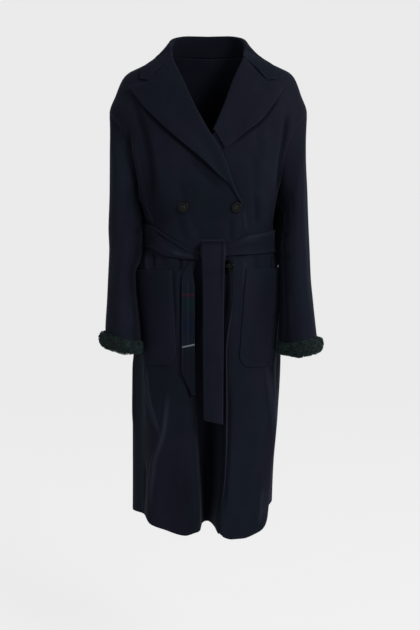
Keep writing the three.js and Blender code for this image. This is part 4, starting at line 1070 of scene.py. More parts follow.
class Finish:
    """A material and its nodes."""

    def __init__(self, name):
        self.material = bpy.data.materials.new(name)
        self.material.use_nodes = True
        self.tree = self.material.node_tree
        self.tree.nodes.clear()

    def add(self, kind, settings=None, sockets=None, output=0):
        """Adds a node: its settings first, then its sockets' values or links."""
        node = self.tree.nodes.new(kind)
        for name, value in (settings or {}).items():
            if name == "stops":
                ramp = node.color_ramp.elements
                ramp[0].position, ramp[0].color = value[0]
                ramp[1].position, ramp[1].color = value[-1]
                for position, colour in value[1:-1]:
                    ramp.new(position).color = colour
            else:
                setattr(node, name, value)
        for name, value in (sockets or {}).items():
            if isinstance(value, Value):
                self.tree.links.new(value.socket, node.inputs[name])
            else:
                node.inputs[name].default_value = value
        return Value(self, node.outputs[output])

    def place(self):
        return self.add("ShaderNodeTexCoord", output=3)

    def attribute(self, name):
        return self.add("ShaderNodeAttribute", {"attribute_name": name}, output=2)

    def noise(self, vector, scale, detail=2.0, roughness=0.5):
        return self.add("ShaderNodeTexNoise", {}, {"Vector": vector, "Scale": scale,
                                                  "Detail": detail, "Roughness": roughness})

    def stretched(self, vector, by):
        return self.add("ShaderNodeVectorMath", {"operation": "MULTIPLY"}, {0: vector, 1: by})

    def blend(self, factor, first, second, kind="MIX"):
        """Mixes two colours."""
        return self.add("ShaderNodeMix", {"data_type": "RGBA", "blend_type": kind},
                        {0: factor, 6: first, 7: second}, 2)

    def parts(self, vector):
        node = self.add("ShaderNodeSeparateXYZ", {}, {0: vector}).socket.node
        return [Value(self, socket) for socket in node.outputs]

    def bump(self, height, strength, distance):
        return self.add("ShaderNodeBump", {}, {"Strength": strength, "Distance": distance,
                                              "Height": height})

    def surface(self, **sockets):
        """The material's shader; the sockets are the Principled shader's, by their names."""
        shader = self.add("ShaderNodeBsdfPrincipled", {},
                          {name.replace("_", " "): value for name, value in sockets.items()})
        end = self.tree.nodes.new("ShaderNodeOutputMaterial")
        self.tree.links.new(shader.socket, end.inputs["Surface"])
        return self.material


def colour(triple):
    return (*triple, 1.0)


def felted(finish, settings):
    """Nap, mottle and edge marks that every wool face shares; the mark along the edges is painted
    highlight as well as wear.
    """
    place = finish.place()
    nap = finish.noise(place, 1 / settings.nap_size, 3.0, 0.6)
    felt = finish.noise(place, 0.22 / settings.nap_size, 4.0, 0.65)
    cloud = finish.noise(finish.stretched(place, (1.0, 1.0, 0.55)), 13.0, 3.0, 0.55)
    edge = finish.attribute("edge_distance")
    wear_and_highlight = 1 - edge.between(0.0004, 0.0026)
    groove = 1 - (edge - settings.stitch_inset).size().between(0.0003, 0.0016)
    return place, nap, felt, cloud, wear_and_highlight, groove


def wool_material(settings):
    finish = Finish("felted_wool")
    place, nap, felt, cloud, wear_and_highlight, groove = felted(finish, settings)
    crease = finish.attribute("tone")
    tone = (nap * 0.35 + felt * 0.4 + cloud * 0.45).between(0.3, 0.95)
    base = finish.blend(tone, colour(settings.dark), colour(settings.light))
    patch = finish.noise(finish.stretched(place, (1.0, 1.0, 0.45)), 9.0, 2.0, 0.5).between(0.36, 0.64)
    tint = finish.blend(patch, (1.10, 0.96, 1.06, 1.0), (0.90, 1.04, 0.98, 1.0))
    base = finish.blend(1.0, base, tint, "MULTIPLY")
    # The tone attribute lays painted shade in the hollow colour where it is negative, and a painted
    # highlight in the crest colour where it is positive.
    base = finish.blend((0 - crease).between(0.0, 1.0) * 0.8, base, colour(settings.hollow_shade))
    base = finish.blend(crease.between(0.0, 1.0) * 0.8 * (0.6 + nap * 0.8), base, colour(settings.crest))
    # Painted highlight and wear along the edges, and a slightly lighter stitch line.
    base = finish.blend(wear_and_highlight * 0.09 + groove * 0.04, base, colour(settings.wear_and_highlight))
    height = nap * 0.45 + felt * 0.8 - groove * 0.9
    return finish.surface(
        Base_Color=base, Roughness=0.86 + felt * 0.14, Specular_IOR_Level=0.03,
        Sheen_Weight=0.05, Sheen_Roughness=0.4, Sheen_Tint=(0.5, 0.56, 0.8, 1.0),
        Normal=finish.bump(height, 0.55, 0.0006))


def reverse_material(settings, pattern):
    """The belt's reverse: a plain dark check of blue, green, red and white lines."""
    finish = Finish("checked_wool")
    place, nap, felt, _, wear_and_highlight, _ = felted(finish, settings)
    x, _, z = finish.parts(place)
    tone = (nap * 0.4 + felt * 0.5).between(0.2, 0.8)

    def band(axis, middle, half, soft=0.0008):
        return 1 - (axis - middle).size().between(half - soft, half + soft)

    base = finish.blend(tone, colour(pattern.ground), colour(settings.light))
    slanted = z - x * 0.2
    for axis, middle, half, tint, strength in (
        (z, -0.597, 0.014, pattern.green, 0.8), (x, -0.056, 0.006, pattern.green, 0.35),
        (z, -0.648, 0.017, pattern.blue, 0.6), (z, -0.573, 0.0016, pattern.red, 0.9),
        (z, -0.579, 0.0009, pattern.red, 0.4), (slanted, -0.685, 0.0016, pattern.white, 0.8),
        (x, -0.0475, 0.0008, pattern.white, 0.06),
    ):
        share = band(axis, middle, half) * strength * (0.75 + nap * 0.5)
        base = finish.blend(share, base, colour(tint))
    # Painted shade: the check's lower end, deep in the front's valley, is darkened to the shaded wool
    # colour.
    base = finish.blend((1 - z.between(-0.712, -0.694)) * 0.75, base, colour(settings.dark))
    base = finish.blend(z.between(-0.548, -0.536), base, finish.blend(tone, colour(settings.dark),
                                                                    colour(settings.light)))
    # Painted highlight and wear along the tail's edges.
    base = finish.blend(wear_and_highlight * 0.3, base, colour(settings.wear_and_highlight))
    twill = finish.add("ShaderNodeTexWave", {"bands_direction": "DIAGONAL"},
                       {"Vector": place, "Scale": 420.0, "Distortion": 1.5, "Detail": 1.0})
    height = nap * 0.4 + felt * 0.6 + twill * 0.25
    return finish.surface(
        Base_Color=base, Roughness=0.88 + felt * 0.12, Specular_IOR_Level=0.03,
        Sheen_Weight=0.05, Sheen_Roughness=0.4, Sheen_Tint=(0.5, 0.6, 0.75, 1.0),
        Normal=finish.bump(height, 0.5, 0.0005))


def fur_material(settings):
    finish = Finish("curly_fur")
    place = finish.place()
    lock = finish.noise(place, 140.0, 3.0, 0.6)
    fine = finish.noise(place, 900.0, 2.0, 0.5)
    tip = finish.attribute("tip")
    # Painted light on the fur: the colour runs from a dark root to a lighter tip, so the pile is shaded
    # low and highlighted on top.
    base = finish.blend((tip * 0.75 + lock * 0.5 - 0.25).between(0.0, 1.0),
                        colour(settings.root), colour(settings.tip))
    return finish.surface(
        Base_Color=base, Roughness=0.52 + fine * 0.3, Specular_IOR_Level=0.15,
        Sheen_Weight=0.08, Sheen_Roughness=0.35, Sheen_Tint=(0.4, 0.7, 0.66, 1.0),
        Normal=finish.bump(fine, 0.4, 0.0004))


def button_material(settings):
    finish = Finish("polished_horn")
    place = finish.place()
    cloud = finish.noise(place, 160.0, 4.0, 0.6)
    grain = finish.noise(finish.stretched(place, (1.0, 1.0, 0.2)), 700.0, 2.0, 0.5)
    base = finish.blend((cloud * 0.7 + grain * 0.4).between(0.35, 0.8),
                        colour(settings.dark), colour(settings.brown))
    return finish.surface(
        Base_Color=base, Roughness=0.1 + cloud * 0.1, Specular_IOR_Level=0.13,
        Normal=finish.bump(grain, 0.12, 0.0002))


def thread_material(settings):
    finish = Finish("sewing_thread")
    place = finish.place()
    ply = finish.add("ShaderNodeTexWave", {"bands_direction": "DIAGONAL"},
                     {"Vector": place, "Scale": 900.0, "Distortion": 0.6})
    base = finish.blend(0.55 + ply * 0.45, colour(settings.dark), colour(settings.thread))
    return finish.surface(Base_Color=base, Roughness=0.7 + ply * 0.15,
                          Specular_IOR_Level=0.3, Normal=finish.bump(ply, 0.5, 0.0003))


def paper_material(stage):
    """Pale paper, lit from behind as well so that it is even."""
    finish = Finish("studio_paper")
    grain = finish.noise(finish.place(), 6.0, 2.0, 0.5)
    base = finish.blend(grain, (0.07, 0.07, 0.07, 1.0), (0.075, 0.075, 0.075, 1.0))
    glow = (stage.paper, stage.paper, stage.paper, 1.0)
    return finish.surface(Base_Color=base, Roughness=0.95 + grain * 0.04, Specular_IOR_Level=0.0,
                          Emission_Color=glow, Emission_Strength=1.0)


def made(name, maker, *settings):
    """The material of that name, made once."""
    found = bpy.data.materials.get(name)
    return found if found else maker(*settings)


# ---------------------------------------------------------------- settings


def colour_setting(name, description, default):
    return bpy.props.FloatVectorProperty(name=name, description=description, subtype="COLOR",
                                         size=3, default=default)


def length_setting(name, description, default, **limits):
    return bpy.props.FloatProperty(name=name, description=description, default=default,
                                   unit="LENGTH", **limits)


class CoatCloth(bpy.types.PropertyGroup):
    """Wool of the coat"""

    nap_size: length_setting("Nap size", "Width of the nap's finest tufts", 0.0009,
                             min=0.0002, precision=5)
    stitch_inset: length_setting("Stitch inset", "From an edge to its hand stitching", 0.0065,
                                 min=0.001, precision=4)
    dark: colour_setting("Wool, shaded", "Colour between the nap's tufts",
        (0.0034, 0.0042, 0.0072))
    light: colour_setting("Wool, lit", "Colour of the nap's tips",
        (0.0068, 0.0082, 0.0134))
    # The hollow and crest colours are painted shade and painted highlight, laid on by the tone
    # attribute.
    hollow_shade: colour_setting("Crease, hollow", "Colour deep in a crease",
        (0.0018, 0.0022, 0.0042))
    crest: colour_setting("Crease, crest", "Colour on a crease's rubbed crest",
        (0.0150, 0.0165, 0.0260))
    # The worn edge colour is a painted highlight along edges as well as their wear.
    wear_and_highlight: colour_setting("Worn edge", "Colour where edges have rubbed",
        (0.020, 0.022, 0.033))


class CoatCheck(bpy.types.PropertyGroup):
    """Check on the belt's reverse"""

    ground: colour_setting("Ground", "Ground colour",
        (0.0020, 0.0036, 0.0066))
    green: colour_setting("Green", "Green bands",
        (0.0026, 0.0078, 0.0100))
    blue: colour_setting("Blue", "Blue bands",
        (0.0024, 0.0044, 0.0120))
    red: colour_setting("Red", "Red lines",
        (0.024, 0.0045, 0.009))
    white: colour_setting("White", "White lines",
        (0.12, 0.13, 0.145))


class CoatFur(bpy.types.PropertyGroup):
    """Fur of the cuffs"""

    curls: bpy.props.IntProperty(name="Curls", description="Curls on each cuff", default=4200, min=100)
    curl_height: length_setting("Curl height", "How far a curl stands up", 0.0065, precision=4)
    # The root and tip colours paint the shade deep in the pile and the highlight on the curls' tips.
    root: colour_setting("Root", "Colour at the roots",
        (0.0016, 0.0036, 0.0038))
    tip: colour_setting("Tip", "Colour at the tips",
        (0.0130, 0.0300, 0.0300))


class CoatButtons(bpy.types.PropertyGroup):
    """Buttons and their thread"""

    rim_width: length_setting("Rim", "Width of a button's raised rim", 0.0026, precision=4)
    hole_radius: length_setting("Hole radius", "Radius of a button's sewing holes", 0.0012, precision=4)
    dark: colour_setting("Dark", "Darkest colour",
        (0.0002, 0.0003, 0.0003))
    brown: colour_setting("Brown", "Colour of the clouds in it",
        (0.0008, 0.0011, 0.0009))
    # The thread's colour is pale so that its dots paint the glints at the buttons' centres, a painted
    # highlight.
    thread: colour_setting("Thread", "Colour of the sewing thread",
        (0.070, 0.080, 0.076))


class CoatStage(bpy.types.PropertyGroup):
    """Floor, lights and camera"""

    floor_height: length_setting("Floor", "Height of the floor", -1.55)
    paper: bpy.props.FloatProperty(name="Paper", description="Brightness of the floor and backdrop",
                                   default=0.79, min=0, max=1, subtype="FACTOR")
    air: bpy.props.FloatProperty(name="Air", description="Strength of the light from all round",
                                 default=0.40, min=0)
    camera_distance: length_setting("Camera distance", "From the camera to the coat", 2.9)
    camera_height: length_setting("Camera height", "Height of the camera", -0.464)
    camera_tilt: bpy.props.FloatProperty(name="Camera tilt", description="How far it looks down",
                                         default=math.radians(1.716), subtype="ANGLE")
    lens: bpy.props.FloatProperty(name="Lens", description="Focal length", default=66.33,
                                  unit="CAMERA")


SETTINGS = {"coat_cloth": CoatCloth, "coat_check": CoatCheck, "coat_fur": CoatFur,
            "coat_buttons": CoatButtons, "coat_stage": CoatStage}

# ---------------------------------------------------------------- pieces

# Each sheet's real flat cut in metres, its area in square metres and how it is held.
SHEETS = {row["node"]: row for row in rows(
    "node piece width length area held rests_on",
    ("back", "coat_back", 0.62, 1.17, 0.60, "hung", ()),
    ("front_right", "coat_front_right", 0.46, 1.18, 0.41, "hung", ("front_left",)),
    ("front_left", "coat_front_left", 0.46, 1.19, 0.41, "hung", ()),
    ("lapel_right", "coat_lapel_right", 0.13, 0.38, 0.031, "folded", ("front_right",)),
    ("lapel_left", "coat_lapel_left", 0.13, 0.21, 0.022, "folded", ("front_left",)),
    ("collar", "coat_collar", 0.48, 0.13, 0.050, "folded", ("back",)),
    ("sleeve_right", "coat_sleeve_right", 0.36, 0.46, 0.148, "hung", ("back",)),
    ("sleeve_left", "coat_sleeve_left", 0.36, 0.46, 0.150, "hung", ("back",)),
    ("pocket_right", "coat_pocket_right", 0.13, 0.235, 0.0285, "laid", ("front_right",)),
    ("pocket_left", "coat_pocket_left", 0.13, 0.235, 0.0285, "laid", ("front_left",)),
    ("belt_band", "belt_round_waist", 0.06, 0.90, 0.045, "gathered", ("back",)),
    ("belt_tail_front", "belt_end_front", 0.054, 0.43, 0.0228, "hung", ("belt_knot",)),
    ("belt_tail_reverse", "belt_end_turned", 0.054, 0.31, 0.0155, "hung", ("belt_knot",)),
)}


def add_sheet(node, grid, material, thickness=CLOTH, closed=False,
              tone=None):
    """Makes one sheet of cloth, hangs it on the root body and hides the model's part that it takes the
    place of.
    """
    facts = SHEETS[node]
    piece = cloth_wall(facts["piece"], grid, thickness, closed, tone)
    piece.data.materials.append(material)
    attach(piece, "root")
    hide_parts(node)
    return piece


def wool():
    return made("felted_wool", wool_material, bpy.context.scene.coat_cloth)


class COAT_OT_body(bpy.types.Operator):
    """Makes the back and the two fronts"""

    bl_idname = "coat.body"
    bl_label = "Back and fronts"

    def execute(self, context):
        for node, angles_at, lift_at in (("back", back_angles, no_lift),
                                         ("front_right", outer_front_angles, outer_front_lift),
                                         ("front_left", under_front_angles, no_lift)):
            grid = panel_grid(angles_at, lift_at)
            # The tone paints light: the creases' highlights and shade, the shade under the arms and, on
            # the outer front, the valley's shade and edge highlight.
            tone = creases(grid, grid_normals(grid, False), "tone")
            tone = tone + armpit_shade(grid[..., 0], grid[..., 2])
            if node == "front_right":
                tone = tone + valley_shade_and_highlight(grid[..., 0], grid[..., 2])
            add_sheet(node, grid, wool(), tone=tone)
        return {"FINISHED"}


class COAT_OT_lapels(bpy.types.Operator):
    """Makes the two lapels"""

    bl_idname = "coat.lapels"
    bl_label = "Lapels"

    def execute(self, context):
        right = lapel_grid(RIGHT, LAPEL_EDGE_RIGHT, BREAK_HEIGHT + 4, outer_roll, outer_lift)
        left = lapel_grid(LEFT, LAPEL_EDGE_LEFT, UNDER_LAPEL_END, under_roll, no_lift)
        add_sheet("lapel_right", right, wool())
        add_sheet("lapel_left", left, wool())
        return {"FINISHED"}


class COAT_OT_collar(bpy.types.Operator):
    """Makes the turned-down collar"""

    bl_idname = "coat.collar"
    bl_label = "Collar"

    def execute(self, context):
        grid = collar_grid()
        # Painted shade on the collar's stand, under its turned-down leaf.
        inner = 1 - ease(np.arange(grid.shape[1]), 5, 12)
        add_sheet("collar", grid, wool(), tone=np.broadcast_to(-0.7 * inner, grid.shape[:2]))
        return {"FINISHED"}


class COAT_OT_sleeves(bpy.types.Operator):
    """Makes the two sleeves"""

    bl_idname = "coat.sleeves"
    bl_label = "Sleeves"

    def execute(self, context):
        for side, node in ((RIGHT, "sleeve_right"), (LEFT, "sleeve_left")):
            grid, tone = sleeve_grid(side)
            add_sheet(node, grid, wool(), closed=True, tone=tone)
        return {"FINISHED"}


class COAT_OT_pockets(bpy.types.Operator):
    """Makes the two patch pockets"""

    bl_idname = "coat.pockets"
    bl_label = "Pockets"

    def execute(self, context):
        add_sheet("pocket_right", pocket_grid(RIGHT), wool())
        add_sheet("pocket_left", pocket_grid(LEFT), wool())
        return {"FINISHED"}


def knot_piece():
    """The belt's knot: a lump of cloth gathered between its two sides."""
    across, round_ = 49, 40
    u = np.linspace(-1, 1, across)[1:-1][:, None]
    turn = np.linspace(0, 2 * np.pi, round_, endpoint=False)[None, :]
    p = KNOT_SQUARENESS
    reach = (1 - np.abs(u) ** p) ** (1 / p)
    c, s = np.cos(turn), np.sin(turn)
    size = (np.abs(c) ** p + np.abs(s) ** p) ** (-1 / p)
    ridge = 1 + 0.05 * np.sin(6 * turn + 2.4 * u) + 0.03 * np.sin(11 * turn - 3 * u + 1)
    back = float(section(KNOT_Z, "front")) + CLOTH + OVERLAP_LIFT + BELT_LIFT + BELT_WALL - KNOT_BACK_SET
    x = KNOT_X + u * KNOT_HALF_WIDTH * np.ones_like(turn)
    y = -back - KNOT_HALF_DEPTH + reach * size * s * KNOT_HALF_DEPTH * ridge
    z = KNOT_Z + reach * size * c * KNOT_HALF_HEIGHT * ridge
    ring = np.stack([x, y, z], -1)
    ends = [[KNOT_X - KNOT_HALF_WIDTH, -back - KNOT_HALF_DEPTH, KNOT_Z],
            [KNOT_X + KNOT_HALF_WIDTH, -back - KNOT_HALF_DEPTH, KNOT_Z]]
    points = np.vstack([ring.reshape(-1, 3), ends]) * MM
    n = len(ring)
    index = np.arange(n * round_).reshape(n, round_)
    wrapped = np.concatenate([index, index[:, :1]], 1)
    quads = np.stack([wrapped[:-1, :-1], wrapped[:-1, 1:], wrapped[1:, 1:], wrapped[1:, :-1]], -1)
    faces = quads.reshape(-1, 4).tolist()
    first, second = n * round_, n * round_ + 1
    faces += [[first, int(wrapped[0, j + 1]), int(wrapped[0, j])] for j in range(round_)]
    faces += [[second, int(wrapped[-1, j]), int(wrapped[-1, j + 1])] for j in range(round_)]
    mesh = bpy.data.meshes.new("belt_knot_tied")
    mesh.from_pydata(points.tolist(), [], faces)
    set_attribute(mesh, "edge_distance", np.full(len(points), 0.03))
    tidy_normals(mesh)
    piece = link("belt_knot_tied", mesh)
    only(piece)
    bpy.ops.object.shade_smooth()
    return piece


class COAT_OT_belt(bpy.types.Operator):
    """Makes the belt, its knot and its two ends"""

    bl_idname = "coat.belt"
    bl_label = "Belt"

    def execute(self, context):
        knot = knot_piece()
        knot.data.materials.append(wool())
        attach(knot, "root")
        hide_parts("belt_knot")
        check = made("checked_wool", reverse_material,
                     context.scene.coat_cloth, context.scene.coat_check)
        band, tone = belt_grid()
        add_sheet("belt_band", band, wool(), thickness=BELT_WALL, tone=tone)
        tail, tone = front_tail_grid()
        add_sheet("belt_tail_front", tail, wool(), thickness=BELT_WALL, tone=tone)
        add_sheet("belt_tail_reverse", reverse_tail_grid(), check, BELT_WALL)
        return {"FINISHED"}


def cuff_surface(side, turn, around):
    """A point on a fur cuff: turn runs round the wrist, around runs round the roll."""
    top = sleeve_end(side, turn) - SEAM
    base = sleeve_point(side, top, turn, CLOTH / 2)
    out = np.stack([side * np.cos(turn), -np.sin(turn)], -1)
    squeezed = ease(-np.cos(turn), 0, 1)
    proud = CUFF_PROUD * (1 - (np.sin(around) > 0.9) * np.sin(around) ** 2)
    reach = (proud + CUFF_HALF_WIDTH * np.cos(around)) * (1 - 0.6 * squeezed)
    x, y = base[..., 0] + out[..., 0] * reach, base[..., 1] + out[..., 1] * reach
    z = top - (CUFF_HALF_HEIGHT - 5 * squeezed) * (1 - np.sin(around))
    limit = x_of_depth(side, y, z, CLOTH + CUFF_CLEARANCE)
    x = side * np.maximum(side * x, side * limit)
    return np.stack([x, y, z], -1)


class COAT_OT_cuffs(bpy.types.Operator):
    """Makes the two curly fur cuffs"""

    bl_idname = "coat.cuffs"
    bl_label = "Fur cuffs"

    def execute(self, context):
        settings = context.scene.coat_fur
        fur = made("curly_fur", fur_material, settings)
        for side, node, name, seed in ((RIGHT, "cuff_right", "fur_cuff_right", 11),
                                       (LEFT, "cuff_left", "fur_cuff_left", 12)):
            piece = fur_cuff(side, name, seed, settings)
            piece.data.materials.append(fur)
            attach(piece, "root")
            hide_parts(node)
        return {"FINISHED"}


PILE_ROOT = 0.80  # share of the way from the roll's middle to its surface


def fur_cuff(side, name, seed, settings):
    """A roll of hide under a pile of short curls."""
    chance = np.random.default_rng(seed)
    turns = np.linspace(0, 2 * np.pi, 120, endpoint=False)[:, None]
    arounds = np.linspace(0, 2 * np.pi, 28, endpoint=False)[None, :]
    shape = cuff_surface(side, turns * np.ones_like(arounds), arounds * np.ones_like(turns))
    centre = shape.mean(1, keepdims=True)
    core = mix(centre, shape, PILE_ROOT)
    n, m = core.shape[:2]
    index = np.arange(n * m).reshape(n, m)
    wrap = np.pad(index, ((0, 1), (0, 1)), mode="wrap")
    hide = np.stack([wrap[:-1, :-1], wrap[:-1, 1:], wrap[1:, 1:], wrap[1:, :-1]], -1).reshape(-1, 4)

    count = settings.curls
    turn = chance.uniform(0, 2 * np.pi, count)
    around = chance.uniform(0, 2 * np.pi, count)
    step = 0.02
    root = cuff_surface(side, turn, around)
    along = unit(cuff_surface(side, turn + step, around) - cuff_surface(side, turn - step, around))
    over = cuff_surface(side, turn, around + step) - cuff_surface(side, turn, around - step)
    over = unit(over + 1e-9)
    up = unit(np.cross(along, over))
    middle = (cuff_surface(side, turn, np.zeros(count)) * 0.5
              + cuff_surface(side, turn, np.full(count, np.pi)) * 0.5)
    up = np.where(((root - middle) * up).sum(-1, keepdims=True) < 0, -up, up)
    root = mix(middle, root, PILE_ROOT)
    rings, corners = 8, 3
    s = np.linspace(0, 1, rings)[None, :, None]
    clump = 0.5 + 0.25 * (np.sin(13 * turn + 2.2 * around + np.sin(3 * around))
                          + np.sin(3 * around - 7 * turn + 2 * np.sin(5 * turn)))
    clump = (clump + chance.normal(0, 0.12, count)).clip(0, 1)[:, None, None]
    high = settings.curl_height / MM * (0.5 + 0.6 * clump)
    wide = chance.uniform(1.5, 2.9, count)[:, None, None]
    phase = (3 * np.sin(5 * turn + 2 * around) + 2 * np.cos(9 * turn - 3 * around))[:, None, None]
    phase = phase + chance.normal(0, 0.5, count)[:, None, None]
    spin = phase + s * chance.uniform(5.0, 7.5, count)[:, None, None]
    swing = wide * np.sqrt(s)
    spine = (root[:, None] + up[:, None] * high * (s - 0.30 * s**3)
             + along[:, None] * swing * np.cos(spin) + over[:, None] * swing * np.sin(spin))
    heading = unit(np.gradient(spine, axis=1))
    across = unit(np.cross(heading, up[:, None] + 0.01))
    beside = np.cross(heading, across)
    thick = 0.72 * (1 - 0.75 * s**2)
    angle = np.arange(corners) * 2 * np.pi / corners
    tube = (spine[:, :, None] + thick[..., None] * (across[:, :, None] * np.cos(angle)[:, None]
                                                   + beside[:, :, None] * np.sin(angle)[:, None]))
    index = n * m + np.arange(count * rings * corners).reshape(count, rings, corners)
    beyond = np.roll(index, -1, axis=2)
    sides = np.stack([index[:, :-1], beyond[:, :-1], beyond[:, 1:], index[:, 1:]], -1).reshape(-1, 4)
    # Higher clumps get lighter tips: a painted highlight on the top of the pile.
    tips = np.broadcast_to(s * (0.25 + clump), (count, rings, corners)).ravel()
    mesh = bpy.data.meshes.new(name)
    points = np.vstack([core.reshape(-1, 3), tube.reshape(-1, 3)])
    faces = [face for part in (hide, sides, index[:, 0], index[:, -1][:, ::-1])
             for face in part.tolist()]
    mesh.from_pydata((points * MM).tolist(), [], faces)
    set_attribute(mesh, "tip", np.concatenate([np.zeros(n * m), tips]))
    tidy_normals(mesh)
    piece = link(name, mesh)
    only(piece)
    bpy.ops.object.shade_smooth()
    return piece


class COAT_OT_buttons(bpy.types.Operator):
    """Makes the three buttons and the thread that holds them"""

    bl_idname = "coat.buttons"
    bl_label = "Buttons"

    def execute(self, context):
        settings = context.scene.coat_buttons
        horn = made("polished_horn", button_material, settings)
        thread = made("sewing_thread", thread_material, settings)
        for place in BUTTONS:
            angle = angle_of_x(np.array(float(place["x"])), np.array(float(place["z"])))
            lift = outer_lift(np.array(float(place["x"])), place["z"]) + CLOTH + place["shank"]
            at = Vector(on_body(angle, place["z"], lift)) * MM
            facing = Vector(surface_normal(angle, np.array(float(place["z"]))))
            turn = facing.to_track_quat("Z", "Y").to_matrix().to_4x4()
            stands = Matrix.Translation(at) @ turn
            disc = button_disc(place["name"] + "_disc", settings, stands)
            disc.data.materials.append(horn)
            stitches = button_thread(place["name"] + "_thread", stands)
            stitches.data.materials.append(thread)
            for piece in (disc, stitches):
                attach(piece, "root")
            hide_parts(place["name"])
        return {"FINISHED"}


HOLE_SPACING = 4.6  # millimetres; the sizes below are metres
DISH_WIDTH, DISH_DEPTH = 0.0026, 0.0011
FLOOR_WIDTH, FLOOR_DEPTH = 0.0030, 0.0004
ROUNDING = 0.0007
THREAD_RADIUS, THREAD_HEIGHT, THREAD_DROP, THREAD_OVERHANG = 0.00042, 0.00375, 0.0014, 0.0012
SHANK_RADIUS, SHANK_LENGTH, SHANK_MIDDLE = 0.0022, 0.0018, -0.0003


def pick(mesh, wanted):
    """Selects the faces that a test of centre and normal wants, in edit mode."""
    shape = bmesh.from_edit_mesh(mesh)
    for face in shape.faces:
        face.select_set(bool(wanted(face.calc_center_median(), face.normal)))
    shape.select_flush_mode()
    bmesh.update_edit_mesh(mesh)


def button_disc(name, settings, stands):
    """A dished four-hole button with a rounded rim."""
    only_nothing()
    radius, thick = BUTTON_RADIUS * MM, BUTTON_THICKNESS * MM
    bpy.ops.mesh.primitive_cylinder_add(vertices=64, radius=radius, depth=thick,
                                        location=(0, 0, thick / 2))
    disc = bpy.context.object
    disc.name = disc.data.name = name
    bpy.ops.object.transform_apply(location=True)
    bpy.ops.object.mode_set(mode="EDIT")
    bpy.ops.mesh.select_all(action="DESELECT")
    pick(disc.data, lambda centre, normal: normal.z > 0.9)
    bpy.ops.mesh.inset(thickness=settings.rim_width, depth=0)
    bpy.ops.mesh.inset(thickness=DISH_WIDTH, depth=-DISH_DEPTH)
    bpy.ops.mesh.inset(thickness=FLOOR_WIDTH, depth=-FLOOR_DEPTH)
    bpy.ops.object.mode_set(mode="OBJECT")
    cutter = hole_cutter(settings, thick)
    cut = disc.modifiers.new("holes", "BOOLEAN")
    cut.object, cut.operation, cut.solver = cutter, "DIFFERENCE", "EXACT"
    soft = disc.modifiers.new("rounding", "BEVEL")
    soft.width, soft.segments = ROUNDING, 4
    soft.limit_method, soft.angle_limit = "ANGLE", math.radians(35)
    apply_all(disc)
    bpy.data.objects.remove(cutter)
    only(disc)
    bpy.ops.object.shade_smooth_by_angle(angle=math.radians(40))
    disc.data.transform(stands)
    return disc


def hole_cutter(settings, thick):
    holes = []
    for x, y in ((1, 1), (-1, 1), (-1, -1), (1, -1)):
        only_nothing()
        bpy.ops.mesh.primitive_cylinder_add(
            vertices=16, radius=settings.hole_radius, depth=thick * 3,
            location=(x * HOLE_SPACING * MM / 2, y * HOLE_SPACING * MM / 2, thick / 2))
        holes.append(bpy.context.object)
    only(holes[0])
    for hole in holes:
        hole.select_set(True)
    bpy.ops.object.join()
    bpy.ops.object.transform_apply(location=True)
    return bpy.context.object


def button_thread(name, stands):
    """Two pairs of threads over the holes, and the shank of thread under the button."""
    bars = []
    half = HOLE_SPACING * MM / 2
    for side in (-1, 1):
        for lane in (-0.35, 0.35):
            only_nothing()
            bpy.ops.mesh.primitive_cylinder_add(
                vertices=10, radius=THREAD_RADIUS, depth=2 * half + THREAD_OVERHANG,
                location=(side * half + lane * MM, 0, THREAD_HEIGHT), rotation=(math.pi / 2, 0, 0))
            bar = bpy.context.object
            bpy.ops.object.transform_apply(location=True, rotation=True)
            bpy.ops.object.mode_set(mode="EDIT")
            bpy.ops.mesh.select_all(action="DESELECT")
            pick(bar.data, lambda centre, normal: abs(normal.y) > 0.9)
            bpy.ops.mesh.extrude_region_move(TRANSFORM_OT_translate={"value": (0, 0, -THREAD_DROP)})
            bpy.ops.object.mode_set(mode="OBJECT")
            bars.append(bar)
    only_nothing()
    bpy.ops.mesh.primitive_cylinder_add(vertices=20, radius=SHANK_RADIUS, depth=SHANK_LENGTH,
                                        location=(0, 0, SHANK_MIDDLE))
    shank = bpy.context.object
    bpy.ops.object.transform_apply(location=True)
    bars.append(shank)
    only(shank)
    for bar in bars:
        bar.select_set(True)
    bpy.ops.object.join()
    piece = bpy.context.object
    piece.name = piece.data.name = name
    only(piece)
    bpy.ops.object.shade_smooth_by_angle(angle=math.radians(50))
    piece.data.transform(stands)
    return piece


class COAT_OT_stage(bpy.types.Operator):
    """Makes the floor, backdrop, lights and camera"""

    bl_idname = "coat.stage"
    bl_label = "Stage"

    def execute(self, context):
        stage = context.scene.coat_stage
        sweep(stage)
        world = bpy.data.worlds.new("studio_air")
        world.use_nodes = True
        air = world.node_tree.nodes["Background"]
        air.inputs["Color"].default_value = (1.0, 1.0, 1.0, 1.0)
        air.inputs["Strength"].default_value = stage.air
        seen = world.node_tree.nodes.new("ShaderNodeBackground")
        seen.inputs["Color"].default_value = (0.831, 0.831, 0.831, 1.0)
        rays = world.node_tree.nodes.new("ShaderNodeLightPath")
        both = world.node_tree.nodes.new("ShaderNodeMixShader")
        wires = world.node_tree.links
        wires.new(rays.outputs["Is Camera Ray"], both.inputs["Fac"])
        wires.new(air.outputs[0], both.inputs[1])
        wires.new(seen.outputs[0], both.inputs[2])
        wires.new(both.outputs[0], world.node_tree.nodes["World Output"].inputs["Surface"])
        context.scene.world = world
        for name, place, aim, size, power in LIGHTS:
            add_light(name, place, aim, size, power)
        data = bpy.data.cameras.new("camera")
        camera = bpy.data.objects.new("camera", data)
        context.scene.collection.objects.link(camera)
        data.sensor_width = 36
        data.lens = stage.lens
        data.shift_y = -0.05
        camera.location = (0.00487, -stage.camera_distance, stage.camera_height)
        camera.rotation_euler = (math.pi / 2 - stage.camera_tilt, 0, 0)
        context.scene.camera = camera
        context.scene.view_settings.view_transform = "Standard"
        return {"FINISHED"}


